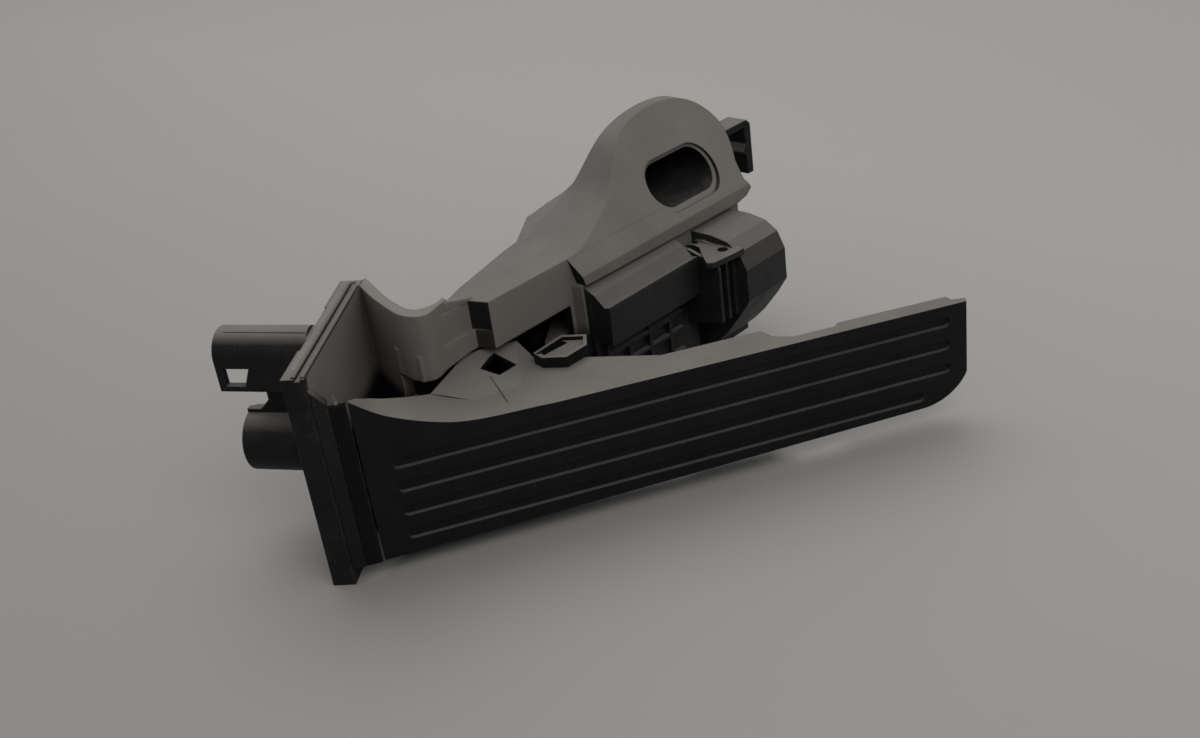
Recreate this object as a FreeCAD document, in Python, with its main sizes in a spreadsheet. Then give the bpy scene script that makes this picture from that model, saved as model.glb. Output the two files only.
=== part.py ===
import FreeCAD, Part
import Sketcher
import math
import os

# Floor-mounted electronic accelerator pedal of a small car, lying on its side.
#
# Frame: +X runs along the housing from the heel to the wall ear, +Y points into the wall that the
# housing bolts to, away from the driver, and +Z is the side of the module that lies uppermost.
# Inside this file every piece is drawn about the hinge of the pedal, whose upper corner is the
# working origin. The placements then bring the middle of the footprint to the document's origin.

doc = FreeCAD.newDocument("accelerator_pedal")
sheet = doc.addObject("Spreadsheet::Sheet", "Sizes")
vector = FreeCAD.Vector
sheet_row = [0]


class Size:
    """A size of the sheet, or a formula of such sizes, with its value."""

    def __init__(self, formula, value):
        self.formula = formula
        self.value = value

    def joined(self, other, sign, value):
        formula = other.formula if isinstance(other, Size) else repr(float(other))
        return Size("(%s %s %s)" % (self.formula, sign, formula), value)

    def __add__(self, other):
        return self.joined(other, "+", self.value + number(other))

    def __sub__(self, other):
        return self.joined(other, "-", self.value - number(other))

    def __mul__(self, other):
        return self.joined(other, "*", self.value * number(other))

    def __truediv__(self, other):
        return self.joined(other, "/", self.value / number(other))

    def __radd__(self, other):
        return self + other

    def __rsub__(self, other):
        return -self + other

    def __rmul__(self, other):
        return self * other

    def __neg__(self):
        return Size("(0 - %s)" % self.formula, -self.value)


def number(size):
    return size.value if isinstance(size, Size) else float(size)


def sine(angle):
    return Size("sin(%s)" % angle.formula, math.sin(math.radians(angle.value)))


def cosine(angle):
    return Size("cos(%s)" % angle.formula, math.cos(math.radians(angle.value)))


def size(alias, value, meaning):
    """Writes one driving dimension into the sheet and returns it."""
    sheet_row[0] += 1
    row = sheet_row[0]
    sheet.set("A%d" % row, meaning)
    sheet.set("B%d" % row, repr(value))
    sheet.setAlias("B%d" % row, alias)
    return Size("Sizes." + alias, float(value))


def bind(piece, place, formula):
    """Ties one property of a piece to the sheet."""
    if isinstance(formula, Size):
        piece.setExpression(place, formula.formula)
        return
    piece.setExpression(place, repr(float(formula)))


# Where the module stands
centre_x = size("centre_x", 100.5, "middle of the footprint, along the housing from the hinge")
centre_y = size("centre_y", -22.5, "middle of the footprint, towards the wall from the hinge")
rest_level = size("rest_level", 65.5, "height of the hinge's upper corner over the table")
gap = size("gap", 0.3, "clearance between pieces that move past each other")
seat_gap = size("seat_gap", 0.02, "clearance of a piece that is pressed or clipped in place")

# Pedal pad, drawn from its hinge: along the pad, and in depth behind its face
pad_angle = size("pad_angle", 30.6, "lean of the pad from the housing at rest")
pad_length = size("pad_length", 210.0, "pad from hinge to tip")
pad_width = size("pad_width", 60.0, "pad across, at its hinge")
pad_drop = size("pad_drop", 20.0, "fall of the upper edge between hinge and tip")
pad_flare = size("pad_flare", 33.0, "length of the flare at the hinge")
pad_tip_width = size("pad_tip_width", 37.5, "pad across, at its tip")
pad_corner = size("pad_corner", 15.0, "radius of the lower tip corner")
pad_plate = size("pad_plate", 3.2, "thickness of the pad's face plate")
pad_wall = size("pad_wall", 2.4, "thickness of the pad's edge walls")
pad_peak = size("pad_peak", 32.5, "depth of the edge wall at its peak")
pad_peak_at = size("pad_peak_at", 66.4, "peak of the edge wall, from the hinge")
pad_waist = size("pad_waist", 14.0, "depth of the edge wall at its middle step")
pad_waist_at = size("pad_waist_at", 104.6, "start of the middle step")
pad_step_at = size("pad_step_at", 140.0, "end of the middle step")
pad_shallow = size("pad_shallow", 4.8, "least depth of the edge wall")
pad_rise_at = size("pad_rise_at", 165.0, "last rise of the edge wall")
pad_tip_depth = size("pad_tip_depth", 6.8, "depth of the edge wall near the tip")
pad_low_wall = size("pad_low_wall", 12.0, "depth of the lower edge wall beside the casing")
tab_height = size("tab_height", 5.0, "height of the raised box on the edge wall")
tab_slot_depth = size("tab_slot_depth", 4.0, "depth of the slot in the raised box")
groove_count = size("groove_count", 4, "grip grooves in the face")
groove_first = size("groove_first", 26.0, "middle of the first groove below the hinge corner")
groove_pitch = size("groove_pitch", 8.9, "spacing of the grooves")
groove_width = size("groove_width", 3.9, "width of a groove")
groove_depth = size("groove_depth", 1.0, "depth of a groove")
groove_lean = size("groove_lean", 35.0, "lean of a groove's walls")
groove_start = size("groove_start", 9.6, "start of the grooves, from the hinge")
groove_end = size("groove_end", 203.0, "end of the long grooves, from the hinge")
rib_pitch = size("rib_pitch", 19.0, "spacing of the ribs behind the face")
rib_wall = size("rib_wall", 1.8, "thickness of a rib")
rib_depth = size("rib_depth", 3.4, "height of a rib behind the face plate")

# Bracket behind the pad, and the pin that the lever's fork holds
bracket_start = size("bracket_start", 42.0, "bracket from the hinge, along the pad")
bracket_end = size("bracket_end", 62.5, "far side of the bracket")
bracket_back = size("bracket_back", 26.5, "depth of the bracket behind the face")
bracket_top = size("bracket_top", 19.2, "upper cheek of the bracket below the hinge corner")
bracket_height = size("bracket_height", 27.8, "height over both cheeks")
bracket_wall = size("bracket_wall", 2.2, "thickness of the bracket's walls")
cheek_wall = size("cheek_wall", 4.2, "thickness of the bracket's lower cheek")
upper_cheek = size("upper_cheek", 3.4, "thickness of the bracket's upper cheek")
roof_wall = size("roof_wall", 1.8, "thickness of the roof over the bracket")
roof_window_floor = size("roof_window_floor", 20.2, "floor of the roof's window below the hinge corner")
pin_cover = size("pin_cover", 1.8, "blind end of the pin's hole, below the top of the upper cheek")
pin_along = size("pin_along", 53.5, "coupling pin from the hinge, along the pad")
pin_behind = size("pin_behind", 17.0, "coupling pin behind the face")
pin_radius = size("pin_radius", 2.5, "coupling pin")
pin_slack = size("pin_slack", 0.5, "slack each side of the pin in the fork, for the open pivot")

# Hinge strip between the heel and the pad
hinge_thick = size("hinge_thick", 1.5, "thickness of the flexible hinge strip")
hinge_bead = size("hinge_bead", 2.8, "seat of the strip along the heel")
hinge_end = size("hinge_end", 0.7, "end of the strip before the hinge corner")

# Heel flange
heel_angle = size("heel_angle", 36.8, "lean of the heel flange from the housing")
heel_length = size("heel_length", 73.0, "heel flange along its face")
heel_thick = size("heel_thick", 7.6, "heel flange thickness")
heel_x = size("heel_x", -14.0, "outer near edge of the heel flange, along the housing")
heel_y = size("heel_y", 10.5, "outer near edge of the heel flange, towards the wall")
heel_top = size("heel_top", 11.0, "top of the heel flange over the hinge corner")
heel_corner = size("heel_corner", 5.0, "radius of the far corners of the heel flange")
heel_groove = size("heel_groove", 0.8, "depth of the trough between the flange's two ridges")
heel_ridge = size("heel_ridge", 4.3, "trough behind the flange's outer face")
heel_trough = size("heel_trough", 1.9, "width of the trough")
heel_relief = size("heel_relief", 0.6, "depth of the relief round the pegs' roots")
peg_angle = size("peg_angle", 119.0, "direction of the pegs, against the housing")
peg_along = size("peg_along", 32.0, "pegs along the flange, from its near edge")
peg_reach = size("peg_reach", 32.3, "upper peg, from the flange")
peg_radius = size("peg_radius", 8.2, "half-round upper peg")
peg_level = size("peg_level", 4.2, "axis of the upper peg over the hinge corner")
peg_root = size("peg_root", 3.0, "how far the pegs run into the flange")
peg_wall = size("peg_wall", 2.0, "wall of the pegs")
peg_frame = size("peg_frame", 9.0, "frame that hangs below the upper peg")
frame_wall = size("frame_wall", 2.6, "thickness of that frame")
frame_bar = size("frame_bar", 1.9, "bar below the frame's window")
web_wall = size("web_wall", 2.4, "web between the two pegs, and the fin on the lower peg")
web_reach = size("web_reach", 19.8, "web from the flange")
fin_top = size("fin_top", -16.9, "top of the fin on the lower peg")
lower_peg_reach = size("lower_peg_reach", 28.6, "lower peg, from the flange")
lower_peg_radius = size("lower_peg_radius", 11.0, "lower peg")
lower_peg_level = size("lower_peg_level", 29.0, "axis of the lower peg below the hinge corner")

# Casing
wall = size("wall", 3.0, "wall of the casing")
shelf = size("shelf", -4.0, "top of the wide lower casing")
casing_top = size("casing_top", 6.4, "top of the narrow upper casing")
rim_top = size("rim_top", 10.4, "top of the curved gusset wall")
casing_floor = size("casing_floor", -57.4, "open lower edge of the casing")
nose_left = size("nose_left", 35.6, "left face of the casing")
nose_front = size("nose_front", 6.0, "front of the casing's nose")
nose_right = size("nose_right", 59.0, "right end of the nose")
flank_left = size("flank_left", 61.5, "left end of the flank")
flank_front = size("flank_front", 0.0, "front face of the flank")
bay_left = size("bay_left", 101.0, "left end of the sensor bay")
bay_front = size("bay_front", -3.0, "front face of the sensor bay")
casing_right = size("casing_right", 188.0, "right face of the casing")
wall_plane = size("wall_plane", 46.0, "face that bears on the car's wall")
mouth_left = size("mouth_left", 42.0, "left edge of the opening for the lever")
mouth_right = size("mouth_right", 97.5, "right edge of the opening for the lever")
mouth_low = size("mouth_low", -54.0, "lower edge of the opening for the lever")
mouth_top = size("mouth_top", -10.8, "upper edge of the opening for the lever")
nose_slot_low = size("nose_slot_low", -23.4, "lower edge of the slot that the pad's edge wall enters")

# Ear with the bolt well
ear_slope = size("ear_slope", 0.7, "lean of the ear's face, per unit of height")
ear_base = size("ear_base", -4.4, "ear's face at the height of the hinge corner")
ear_skirt = size("ear_skirt", -4.6, "upright foot of the ear's face")
ear_strip = size("ear_strip", 26.0, "far side of the ear's level top strip")
well_x = size("well_x", 166.0, "middle of the bolt well along the housing")
well_z = size("well_z", 11.3, "middle of the bolt well, over the hinge corner")
well_length = size("well_length", 36.0, "bolt well, long way")
well_height = size("well_height", 18.0, "bolt well, short way")
well_floor = size("well_floor", 34.0, "floor of the bolt well, towards the wall")
well_ledge = size("well_ledge", 1.5, "step round the mouth of the well")
well_step = size("well_step", 1.8, "depth of that step")
sleeve_bore = size("sleeve_bore", 3.3, "radius of the sleeve's bore, for an M6 stud")
sleeve_wall = size("sleeve_wall", 1.5, "wall of the steel sleeve")
boss_wall = size("boss_wall", 3.2, "plastic round the well and the sleeve")
bolt_x = size("bolt_x", 172.0, "bolt along the housing")

# Cable clip on the ear
clip_left = size("clip_left", 193.0, "root of the clip arm")
clip_right = size("clip_right", 215.0, "far side of the clip")
clip_top = size("clip_top", 17.0, "top of the clip arm")
clip_low = size("clip_low", -5.0, "lower end of the clip leg")
clip_front = size("clip_front", 10.0, "front of the clip")
clip_depth = size("clip_depth", 9.0, "depth of the clip")
clip_arm = size("clip_arm", 2.6, "thickness of the clip arm")
clip_leg = size("clip_leg", 3.4, "width of the clip leg")
clip_tooth = size("clip_tooth", 2.2, "reach of the tooth inside the clip")

# Sensor unit
cover_left = size("cover_left", 102.0, "left end of the sensor cover")
cover_right = size("cover_right", 149.5, "right end of the sensor cover")
cover_front = size("cover_front", -14.6, "front of the sensor cover")
cover_top = size("cover_top", -10.3, "upper front edge of the sensor cover")
cover_back_top = size("cover_back_top", -5.0, "upper back edge of the sensor cover")
cover_low = size("cover_low", -25.5, "lower edge of the sensor cover")
cover_wall = size("cover_wall", 2.0, "wall of the sensor cover")
cover_end = size("cover_end", 1.6, "end walls of the sensor cover")
tray_low = size("tray_low", -56.0, "lower end of the ribbed wall")
tray_wall = size("tray_wall", 2.5, "wall of the sensor tray")
block_left = size("block_left", 152.0, "left end of the connector block")
block_right = size("block_right", 183.0, "mouth of the connector")
block_front = size("block_front", -28.3, "front of the connector block")
block_top = size("block_top", -6.6, "top of the connector block")
block_low = size("block_low", -46.0, "lower end of the connector block")
socket_depth = size("socket_depth", 15.0, "depth of the connector socket")
socket_wall = size("socket_wall", 2.2, "wall round the connector socket")
rib_count = size("rib_count", 3, "upright ribs beside the connector block")
rib_step = size("rib_step", 4.1, "spacing of those ribs")
tray_rib = size("tray_rib", 1.3, "thickness of the tray's ribs")
tray_relief = size("tray_relief", 2.0, "height of the tray's ribs")
fixing_radius = size("fixing_radius", 2.0, "hole in the shelf beside the block")
pin_count = size("pin_count", 6, "contacts in the socket")
pin_side = size("pin_side", 0.64, "square contact")
pin_length = size("pin_length", 13.0, "contact, board end to tip")
pin_pitch = size("pin_pitch", 3.0, "spacing of the contacts")

# Lever and what turns with it
shaft_x = size("shaft_x", 124.0, "lever shaft along the housing")
shaft_y = size("shaft_y", 15.5, "lever shaft towards the wall")
shaft_radius = size("shaft_radius", 3.5, "steel lever shaft")
shaft_grip = size("shaft_grip", 6.0, "how far the shaft runs past the hub into its seats")
bush_wall = size("bush_wall", 1.6, "wall of a lever bush")
bush_length = size("bush_length", 8.0, "length of a lever bush")
hub_radius = size("hub_radius", 8.0, "hub of the lever")
hub_top = size("hub_top", -3.0, "upper end of the hub")
hub_low = size("hub_low", -53.6, "lower end of the hub")
arm_top = size("arm_top", -23.4, "top of the lever arm")
arm_low = size("arm_low", -42.0, "underside of the lever arm")
arm_bow = size("arm_bow", 16.0, "how far the arm bows towards the pad")
arm_slot = size("arm_slot", 7.0, "depth of the slot in the arm's top")
fork_reach = size("fork_reach", 1.4, "fork past the coupling pin")
fork_run = size("fork_run", 5.5, "run of the pin in the fork, towards the shaft")
fork_wall = size("fork_wall", 2.7, "thickness of a fork tine")
spring_wire = size("spring_wire", 1.2, "radius of the return spring's wire")
spring_turns = size("spring_turns", 3, "turns of a return spring")
wire_sides = size("wire_sides", 8, "sides of a spring wire's section")
spring_pitch = size("spring_pitch", 2.8, "rise of a turn")
shoe_thick = size("shoe_thick", 3.0, "friction shoe")
shoe_shift = size("shoe_shift", 3.5, "shoe beside the middle of the shaft")
spring_seat_gap = size("spring_seat_gap", 0.8, "shoe spring from its seat, to the middle of its wire")
shoe_height = size("shoe_height", 12.0, "friction shoe, along the shaft")
target_thick = size("target_thick", 0.8, "sensor target on the hub")
board_thick = size("board_thick", 1.6, "sensor board")

# Lower cover
lid_thick = size("lid_thick", 2.6, "side cover")
foot_radius = size("foot_radius", 5.0, "screw boss under the side cover")
screw_radius = size("screw_radius", 1.5, "cover screws")
screw_head = size("screw_head", 2.9, "heads of the cover screws")
screw_length = size("screw_length", 12.0, "cover screws below the head")
buffer_radius = size("buffer_radius", 4.0, "rubber buffers")
rest_buffer_length = size("rest_buffer_length", 5.4, "buffer that the lever leans on at rest")
stop_buffer_length = size("stop_buffer_length", 10.9, "buffer that the lever meets at full throttle")
shoe_spring_length = size("shoe_spring_length", 9.4, "spring behind the friction shoe")
doc.recompute()

failures = []
sub_parts = {}


def origin_plane(body, role):
    for feature in body.Origin.OriginFeatures:
        if feature.Role == role:
            return feature
    raise RuntimeError("no plane " + role)


def new_sketch(body, name, role, level):
    """A sketch parallel to one plane of its own body, raised by a level along that plane's normal."""
    sketch = body.newObject("Sketcher::SketchObject", name)
    sketch.AttachmentSupport = [(origin_plane(body, role), "")]
    sketch.MapMode = "FlatFace"
    bind(sketch, "AttachmentOffset.Base.z", level)
    return sketch


def draw_outline(sketch, points):
    """A closed outline of straight lines, each corner held by the sizes that place it."""
    places = [vector(number(across), number(along), 0) for across, along in points]
    first = sketch.GeometryCount
    last = len(places) - 1
    for index, place in enumerate(places):
        sketch.addGeometry(Part.LineSegment(place, places[(index + 1) % len(places)]), False)
    for index in range(len(places)):
        following = first + (0 if index == last else index + 1)
        sketch.addConstraint(Sketcher.Constraint("Coincident", first + index, 2, following, 1))
    for index, (across, along) in enumerate(points):
        hold(sketch, "DistanceX", first + index, across)
        hold(sketch, "DistanceY", first + index, along)


def hold(sketch, kind, line, formula):
    """Holds the start of a line at a distance from the sketch's axes."""
    index = sketch.addConstraint(Sketcher.Constraint(kind, -1, 1, line, 1, number(formula)))
    if isinstance(formula, Size):
        sketch.setExpression("Constraints[%d]" % index, formula.formula)


def draw_circle(sketch, across, along, radius):
    place = vector(number(across), number(along), 0)
    line = sketch.addGeometry(Part.Circle(place, vector(0, 0, 1), number(radius)), False)
    for kind, formula in (("DistanceX", across), ("DistanceY", along)):
        index = sketch.addConstraint(Sketcher.Constraint(kind, -1, 1, line, 3, number(formula)))
        if isinstance(formula, Size):
            sketch.setExpression("Constraints[%d]" % index, formula.formula)
    index = sketch.addConstraint(Sketcher.Constraint("Radius", line, number(radius)))
    if isinstance(radius, Size):
        sketch.setExpression("Constraints[%d]" % index, radius.formula)


def draw_curve(sketch, points):
    """An open smooth curve through a few points."""
    curve = Part.BSplineCurve()
    curve.interpolate([vector(number(across), number(along), 0) for across, along in points])
    sketch.addGeometry(curve, False)


def draw_line(sketch, start, end):
    places = [vector(number(across), number(along), 0) for across, along in (start, end)]
    sketch.addGeometry(Part.LineSegment(*places), False)


def feature(body, kind, name, sketch, length, reverse=False, through=False):
    """Adds a pad or a pocket, and makes sure that it changed the body."""
    before = 0.0 if body.Tip is None else body.Tip.Shape.Volume
    made = body.newObject("PartDesign::" + kind, name)
    made.Profile = sketch
    if through:
        made.Type = "ThroughAll"
    else:
        bind(made, "Length", length)
    made.Reversed = reverse
    doc.recompute()
    if made.Shape.isNull() or not made.Shape.isValid():
        raise RuntimeError("%s of %s fails" % (name, body.Label))
    after = made.Shape.Volume
    grown = after - before
    if (kind == "Pad" and grown < 0.01) or (kind == "Pocket" and grown > -0.01):
        failures.append("%s of %s changes nothing" % (name, body.Label))
    return made


def pad(body, name, role, level, length, points, reverse=False):
    sketch = new_sketch(body, name + "_outline", role, level)
    draw_outline(sketch, points)
    return feature(body, "Pad", name, sketch, length, reverse)


def pocket(body, name, role, level, length, points, reverse=False, through=False):
    sketch = new_sketch(body, name + "_outline", role, level)
    draw_outline(sketch, points)
    return feature(body, "Pocket", name, sketch, length, reverse, through)


def box_points(left, right, low, high):
    return [(left, low), (right, low), (right, high), (left, high)]


def new_body(name):
    body = doc.addObject("PartDesign::Body", name)
    body.Label = name
    return body


def stand(piece, across=0.0, along=0.0, height=0.0, turn=0.0):
    """Places a sub-part in the document's frame, by its own place about the hinge corner."""
    bind(piece, "Placement.Base.x", as_size(across) - centre_x)
    bind(piece, "Placement.Base.y", as_size(along) - centre_y)
    bind(piece, "Placement.Base.z", as_size(height) + rest_level)
    if number(turn):
        piece.Placement.Rotation = FreeCAD.Rotation(vector(0, 0, 1), number(turn))
        bind(piece, "Placement.Rotation.Angle", as_size(turn))


def as_size(value):
    return value if isinstance(value, Size) else Size(repr(float(value)), float(value))


def keep(piece, name):
    """Names a finished sub-part."""
    piece.Label = name
    sub_parts[name] = piece
    return piece


def boolean(kind, name, pieces):
    made = doc.addObject("Part::" + kind, name)
    if kind == "Cut":
        made.Base, made.Tool = pieces
    else:
        made.Shapes = pieces
    return made


# Places that several pieces share
pin_x = pin_along * cosine(pad_angle) + pin_behind * sine(pad_angle)
pin_y = pin_behind * cosine(pad_angle) - pin_along * sine(pad_angle)
arm_angle = size("arm_angle", 22.1, "line from the coupling pin to the shaft, against the housing")
arm_cos = cosine(arm_angle)
arm_sin = sine(arm_angle)
heel_cos = cosine(heel_angle)
heel_sin = sine(heel_angle)
screw_places = [(bay_left + 45.0, bay_front + 8.0), (casing_right - 8.0, bay_front + 8.0),
                (casing_right - 8.0, wall_plane - 8.0), (84.0, 24.4)]


def heel_place(along, behind):
    """A place of the plan, along the heel flange's outer face and in depth behind it."""
    return (heel_x + heel_cos * along + heel_sin * behind, heel_y + heel_sin * along - heel_cos * behind)


def arm_place(along, beside):
    """A place of the plan, from the coupling pin towards the shaft and across that line."""
    return (pin_x + arm_cos * along - arm_sin * beside, pin_y + arm_sin * along + arm_cos * beside)


def make_pedal_pad():
    """The long pad: edge walls of changing depth, a grooved face, ribs behind it and a bracket."""
    body = new_body("pad_moulding")
    foot = -pad_width
    pad(body, "side_profile", "XY_Plane", foot, pad_width, [
        (0.6, 0.0), (pad_length - 0.8, 0.0), (pad_length, 2.4), (pad_length - 4.6, 3.6),
        (pad_length - 5.0, pad_tip_depth - 0.4), (pad_rise_at, pad_tip_depth),
        (pad_rise_at - 2.0, pad_shallow),
        (pad_step_at + 8.0, pad_shallow), (pad_step_at + 2.0, pad_waist - 5.6), (pad_step_at, pad_waist),
        (pad_waist_at, pad_waist), (pad_peak_at, pad_peak), (58.0, 30.4), (50.0, 29.6), (40.0, 26.4),
        (27.6, 20.1),
        (20.7, 17.1), (13.9, 13.8), (7.9, 10.2), (3.0, 5.0), (1.2, 1.8)])

    face = new_sketch(body, "face_outline", "XZ_Plane", 0)
    draw_outline(face, box_points(-20.0, pad_length + 20, foot - 20, 20.0))
    high = -pad_drop
    tip_foot = high - pad_tip_width
    curve = [(0.0, 0.0), (2.6, -2.2), (9.0, pad_drop * -0.36), (17.0, pad_drop * -0.57),
             (pad_flare, pad_drop * -0.84), (48.0, pad_drop * -0.905), (64.0, pad_drop * -0.935)]
    draw_curve(face, curve)
    draw_line(face, curve[-1], (pad_length, high))
    corner = (pad_length, tip_foot + pad_corner + 2.0)
    draw_line(face, (pad_length, high), corner)
    bend = [corner, (pad_length - 1.4, tip_foot + pad_corner * 0.62),
            (pad_length - 6.4, tip_foot + pad_corner * 0.25), (pad_length - 18.0, tip_foot)]
    draw_curve(face, bend)
    draw_line(face, bend[-1], (0.0, foot))
    draw_line(face, (0.0, foot), (0.0, 0.0))
    doc.recompute()
    feature(body, "Pocket", "face_shape", face, 0, False, True)

    hollow = new_sketch(body, "hollow_outline", "XZ_Plane", -pad_plate)
    inner = [(9.0, pad_drop * -0.36 - pad_wall - 2.0), (17.0, pad_drop * -0.57 - pad_wall),
             (pad_flare, pad_drop * -0.84 - pad_wall), (48.0, pad_drop * -0.905 - pad_wall),
             (64.0, pad_drop * -0.935 - pad_wall)]
    draw_curve(hollow, inner)
    draw_line(hollow, inner[-1], (pad_length - pad_wall, high - pad_wall))
    inner_corner = (pad_length - pad_wall, tip_foot + pad_corner + 2.0)
    draw_line(hollow, (pad_length - pad_wall, high - pad_wall), inner_corner)
    inner_bend = [inner_corner, (pad_length - pad_wall - 5.6, tip_foot + pad_wall + pad_corner * 0.28),
                  (pad_length - 19.0, tip_foot + pad_wall)]
    draw_curve(hollow, inner_bend)
    inner_foot = (9.0, foot + pad_wall + 0.2)
    draw_line(hollow, inner_bend[-1], inner_foot)
    draw_line(hollow, inner_foot, inner[0])
    doc.recompute()
    feature(body, "Pocket", "hollow", hollow, 0, False, True)

    # The lower edge wall is shallower, so that it passes in front of the casing's lower lip
    pocket(body, "low_wall", "XY_Plane", foot - 1.0, 9.0, [
        (11.4, pad_low_wall), (pad_waist_at + 6.0, pad_low_wall), (pad_waist_at + 6.0, pad_peak + 3.0),
        (11.4, pad_peak + 3.0)], True)

    # Raised box with a slot, which stands on the upper edge wall beside the bracket
    tab_low = -pad_drop + 0.2
    pad(body, "tab", "XY_Plane", tab_low, tab_height, [
        (74.0, 21.0), (82.6, 26.0), (84.6, 33.6), (76.4, 37.4), (64.7, 29.4), (66.4, 24.6)])
    pocket(body, "tab_tray", "XY_Plane", tab_low + tab_height, 1.4, [
        (74.0, 22.5), (81.4, 26.9), (83.1, 32.8), (76.6, 35.8), (66.6, 29.0), (67.8, 25.6)])
    pocket(body, "tab_slot", "XY_Plane", tab_low + tab_height, tab_slot_depth, [
        (66.0, 27.6), (77.6, 33.4), (76.4, 35.8), (65.4, 28.6)])

    # Cross ribs stand between the two edge walls, all of one height
    ribs = new_sketch(body, "rib_outlines", "XZ_Plane", -(pad_plate - 0.2))
    count = int((pad_length.value - 30.0) / rib_pitch.value)
    for index in range(count):
        start = rib_pitch * (index + 1)
        draw_outline(ribs, box_points(start, start + rib_wall, foot + pad_wall * 0.5 + 2.9,
            high - pad_wall * 0.5))
    doc.recompute()
    feature(body, "Pad", "cross_ribs", ribs, rib_depth, True)
    for index in range(2):
        level = foot + pad_wall + 11.0 * (index + 1)
        spine = new_sketch(body, "spine_outline_%d" % index, "XZ_Plane", -(pad_plate - 0.2))
        draw_outline(spine, box_points(9.0, pad_length - pad_wall * 0.5, level, level + rib_wall))
        doc.recompute()
        feature(body, "Pad", "spine_%d" % index, spine, rib_depth - 0.8, True)

    # Bracket: two cheeks and a left wall, open towards the lever
    bracket_low = -(bracket_top + bracket_height)
    pad(body, "bracket", "XY_Plane", bracket_low, bracket_height, [
        (bracket_start, pad_plate - 1.0), (bracket_end, pad_plate - 1.0), (bracket_end, 10.0),
        (bracket_end - 3.2, bracket_back), (bracket_start + 6.0, bracket_back),
        (bracket_start, bracket_back - 1.5)])
    room_top = -(bracket_top + upper_cheek)
    pocket(body, "bracket_room", "XY_Plane", room_top, bracket_height - cheek_wall - upper_cheek, [
        (bracket_start + bracket_wall, pad_plate + 1.0), (bracket_end + 9.0, pad_plate + 1.0),
        (bracket_end + 9.0, bracket_back + 6.0), (bracket_start + bracket_wall, bracket_back + 6.0)])
    # Hole for the coupling pin, blind in the upper cheek
    hole = new_sketch(body, "pin_hole_outline", "XY_Plane", -(bracket_top + pin_cover))
    draw_circle(hole, pin_along, pin_behind, pin_radius + seat_gap)
    doc.recompute()
    feature(body, "Pocket", "pin_hole", hole, bracket_height + 2.0)

    # Grip grooves with round ends
    for index in range(int(groove_count.value)):
        level = -(groove_first + groove_pitch * index)
        end = groove_end if index < groove_count.value - 1 else groove_end - 10.0
        groove = new_sketch(body, "groove_outline_%d" % index, "XZ_Plane", 0)
        half = groove_width / 2
        draw_outline(groove, [
            (groove_start, level + half * 0.5), (groove_start + half * 0.5, level + half),
            (end - half * 0.5, level + half), (end, level + half * 0.5), (end, level - half * 0.5),
            (end - half * 0.5, level - half), (groove_start + half * 0.5, level - half),
            (groove_start, level - half * 0.5)])
        doc.recompute()
        cut = feature(body, "Pocket", "groove_%d" % index, groove, groove_depth)
        bind(cut, "TaperAngle", groove_lean)
    stand(body, turn=-pad_angle)

    # Window at the hip of the roof
    window = new_body("roof_window")
    pad(window, "window", "XY_Plane", -roof_window_floor, roof_window_floor - 6.0, [
        (52.3, 34.0), (45.8, 27.0), (51.2, 22.8), (58.4, 28.2)])
    stand(window, turn=-pad_angle)
    roofed = boolean("MultiFuse", "roofed_pad", [body, make_bracket_roof()])
    whole = boolean("Cut", "pedal_pad_whole", [roofed, window])
    doc.recompute()
    return keep(whole, "pedal_pad")


def make_bracket_roof():
    """The thin hipped roof over the bracket, rising from the edge wall to its free back edge."""
    top = {"start": (27.6, 20.1, -15.3), "front": (44.0, 11.0, -18.6), "right": (57.0, 13.0, -19.2),
           "end": (66.2, 32.2, -19.6), "high_end": (61.3, 38.6, -13.4), "high_mid": (49.2, 36.2, -11.9),
           "high_start": (42.3, 34.0, -11.9), "hip": (51.2, 22.6, -16.3), "hip_end": (58.5, 28.5, -16.9)}
    facets = [("start", "front", "hip"), ("front", "right", "hip"), ("right", "hip_end", "hip"),
              ("right", "end", "hip_end"), ("hip_end", "end", "high_end"),
              ("hip_end", "high_end", "high_mid"),
              ("hip", "hip_end", "high_mid"), ("hip", "high_mid", "high_start"),
              ("start", "hip", "high_start")]
    rim = ["start", "front", "right", "end", "high_end", "high_mid", "high_start"]
    floor = -30.0
    faces = []
    for corners in facets:
        places = [vector(*top[corner]) for corner in corners]
        faces.append(Part.Face(Part.makePolygon(places + [places[0]])))
    for index, corner in enumerate(rim):
        following = top[rim[(index + 1) % len(rim)]]
        here = top[corner]
        places = [vector(*here), vector(*following), vector(following[0], following[1], floor),
                  vector(here[0], here[1], floor)]
        faces.append(Part.Face(Part.makePolygon(places + [places[0]])))
    foot = [vector(top[corner][0], top[corner][1], floor) for corner in rim]
    faces.append(Part.Face(Part.makePolygon(foot + [foot[0]])))
    block = Part.Solid(Part.makeShell(faces))
    if block.Volume < 0:
        block.reverse()
    outer = doc.addObject("Part::Feature", "roof_block")
    outer.Shape = block
    below = doc.addObject("Part::Feature", "roof_room")
    below.Shape = block.copy()
    bind(below, "Placement.Base.z", -roof_wall)
    roof = boolean("Cut", "bracket_roof", [outer, below])
    stand(roof, turn=-pad_angle)
    return roof


def make_coupling_pin():
    pin = doc.addObject("Part::Cylinder", "coupling_pin")
    bind(pin, "Radius", pin_radius)
    bind(pin, "Height", bracket_height - 0.6 - pin_cover)
    stand(pin, pin_x, pin_y, -(bracket_top + bracket_height) + 0.5)
    return keep(pin, "coupling_pin")


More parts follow.
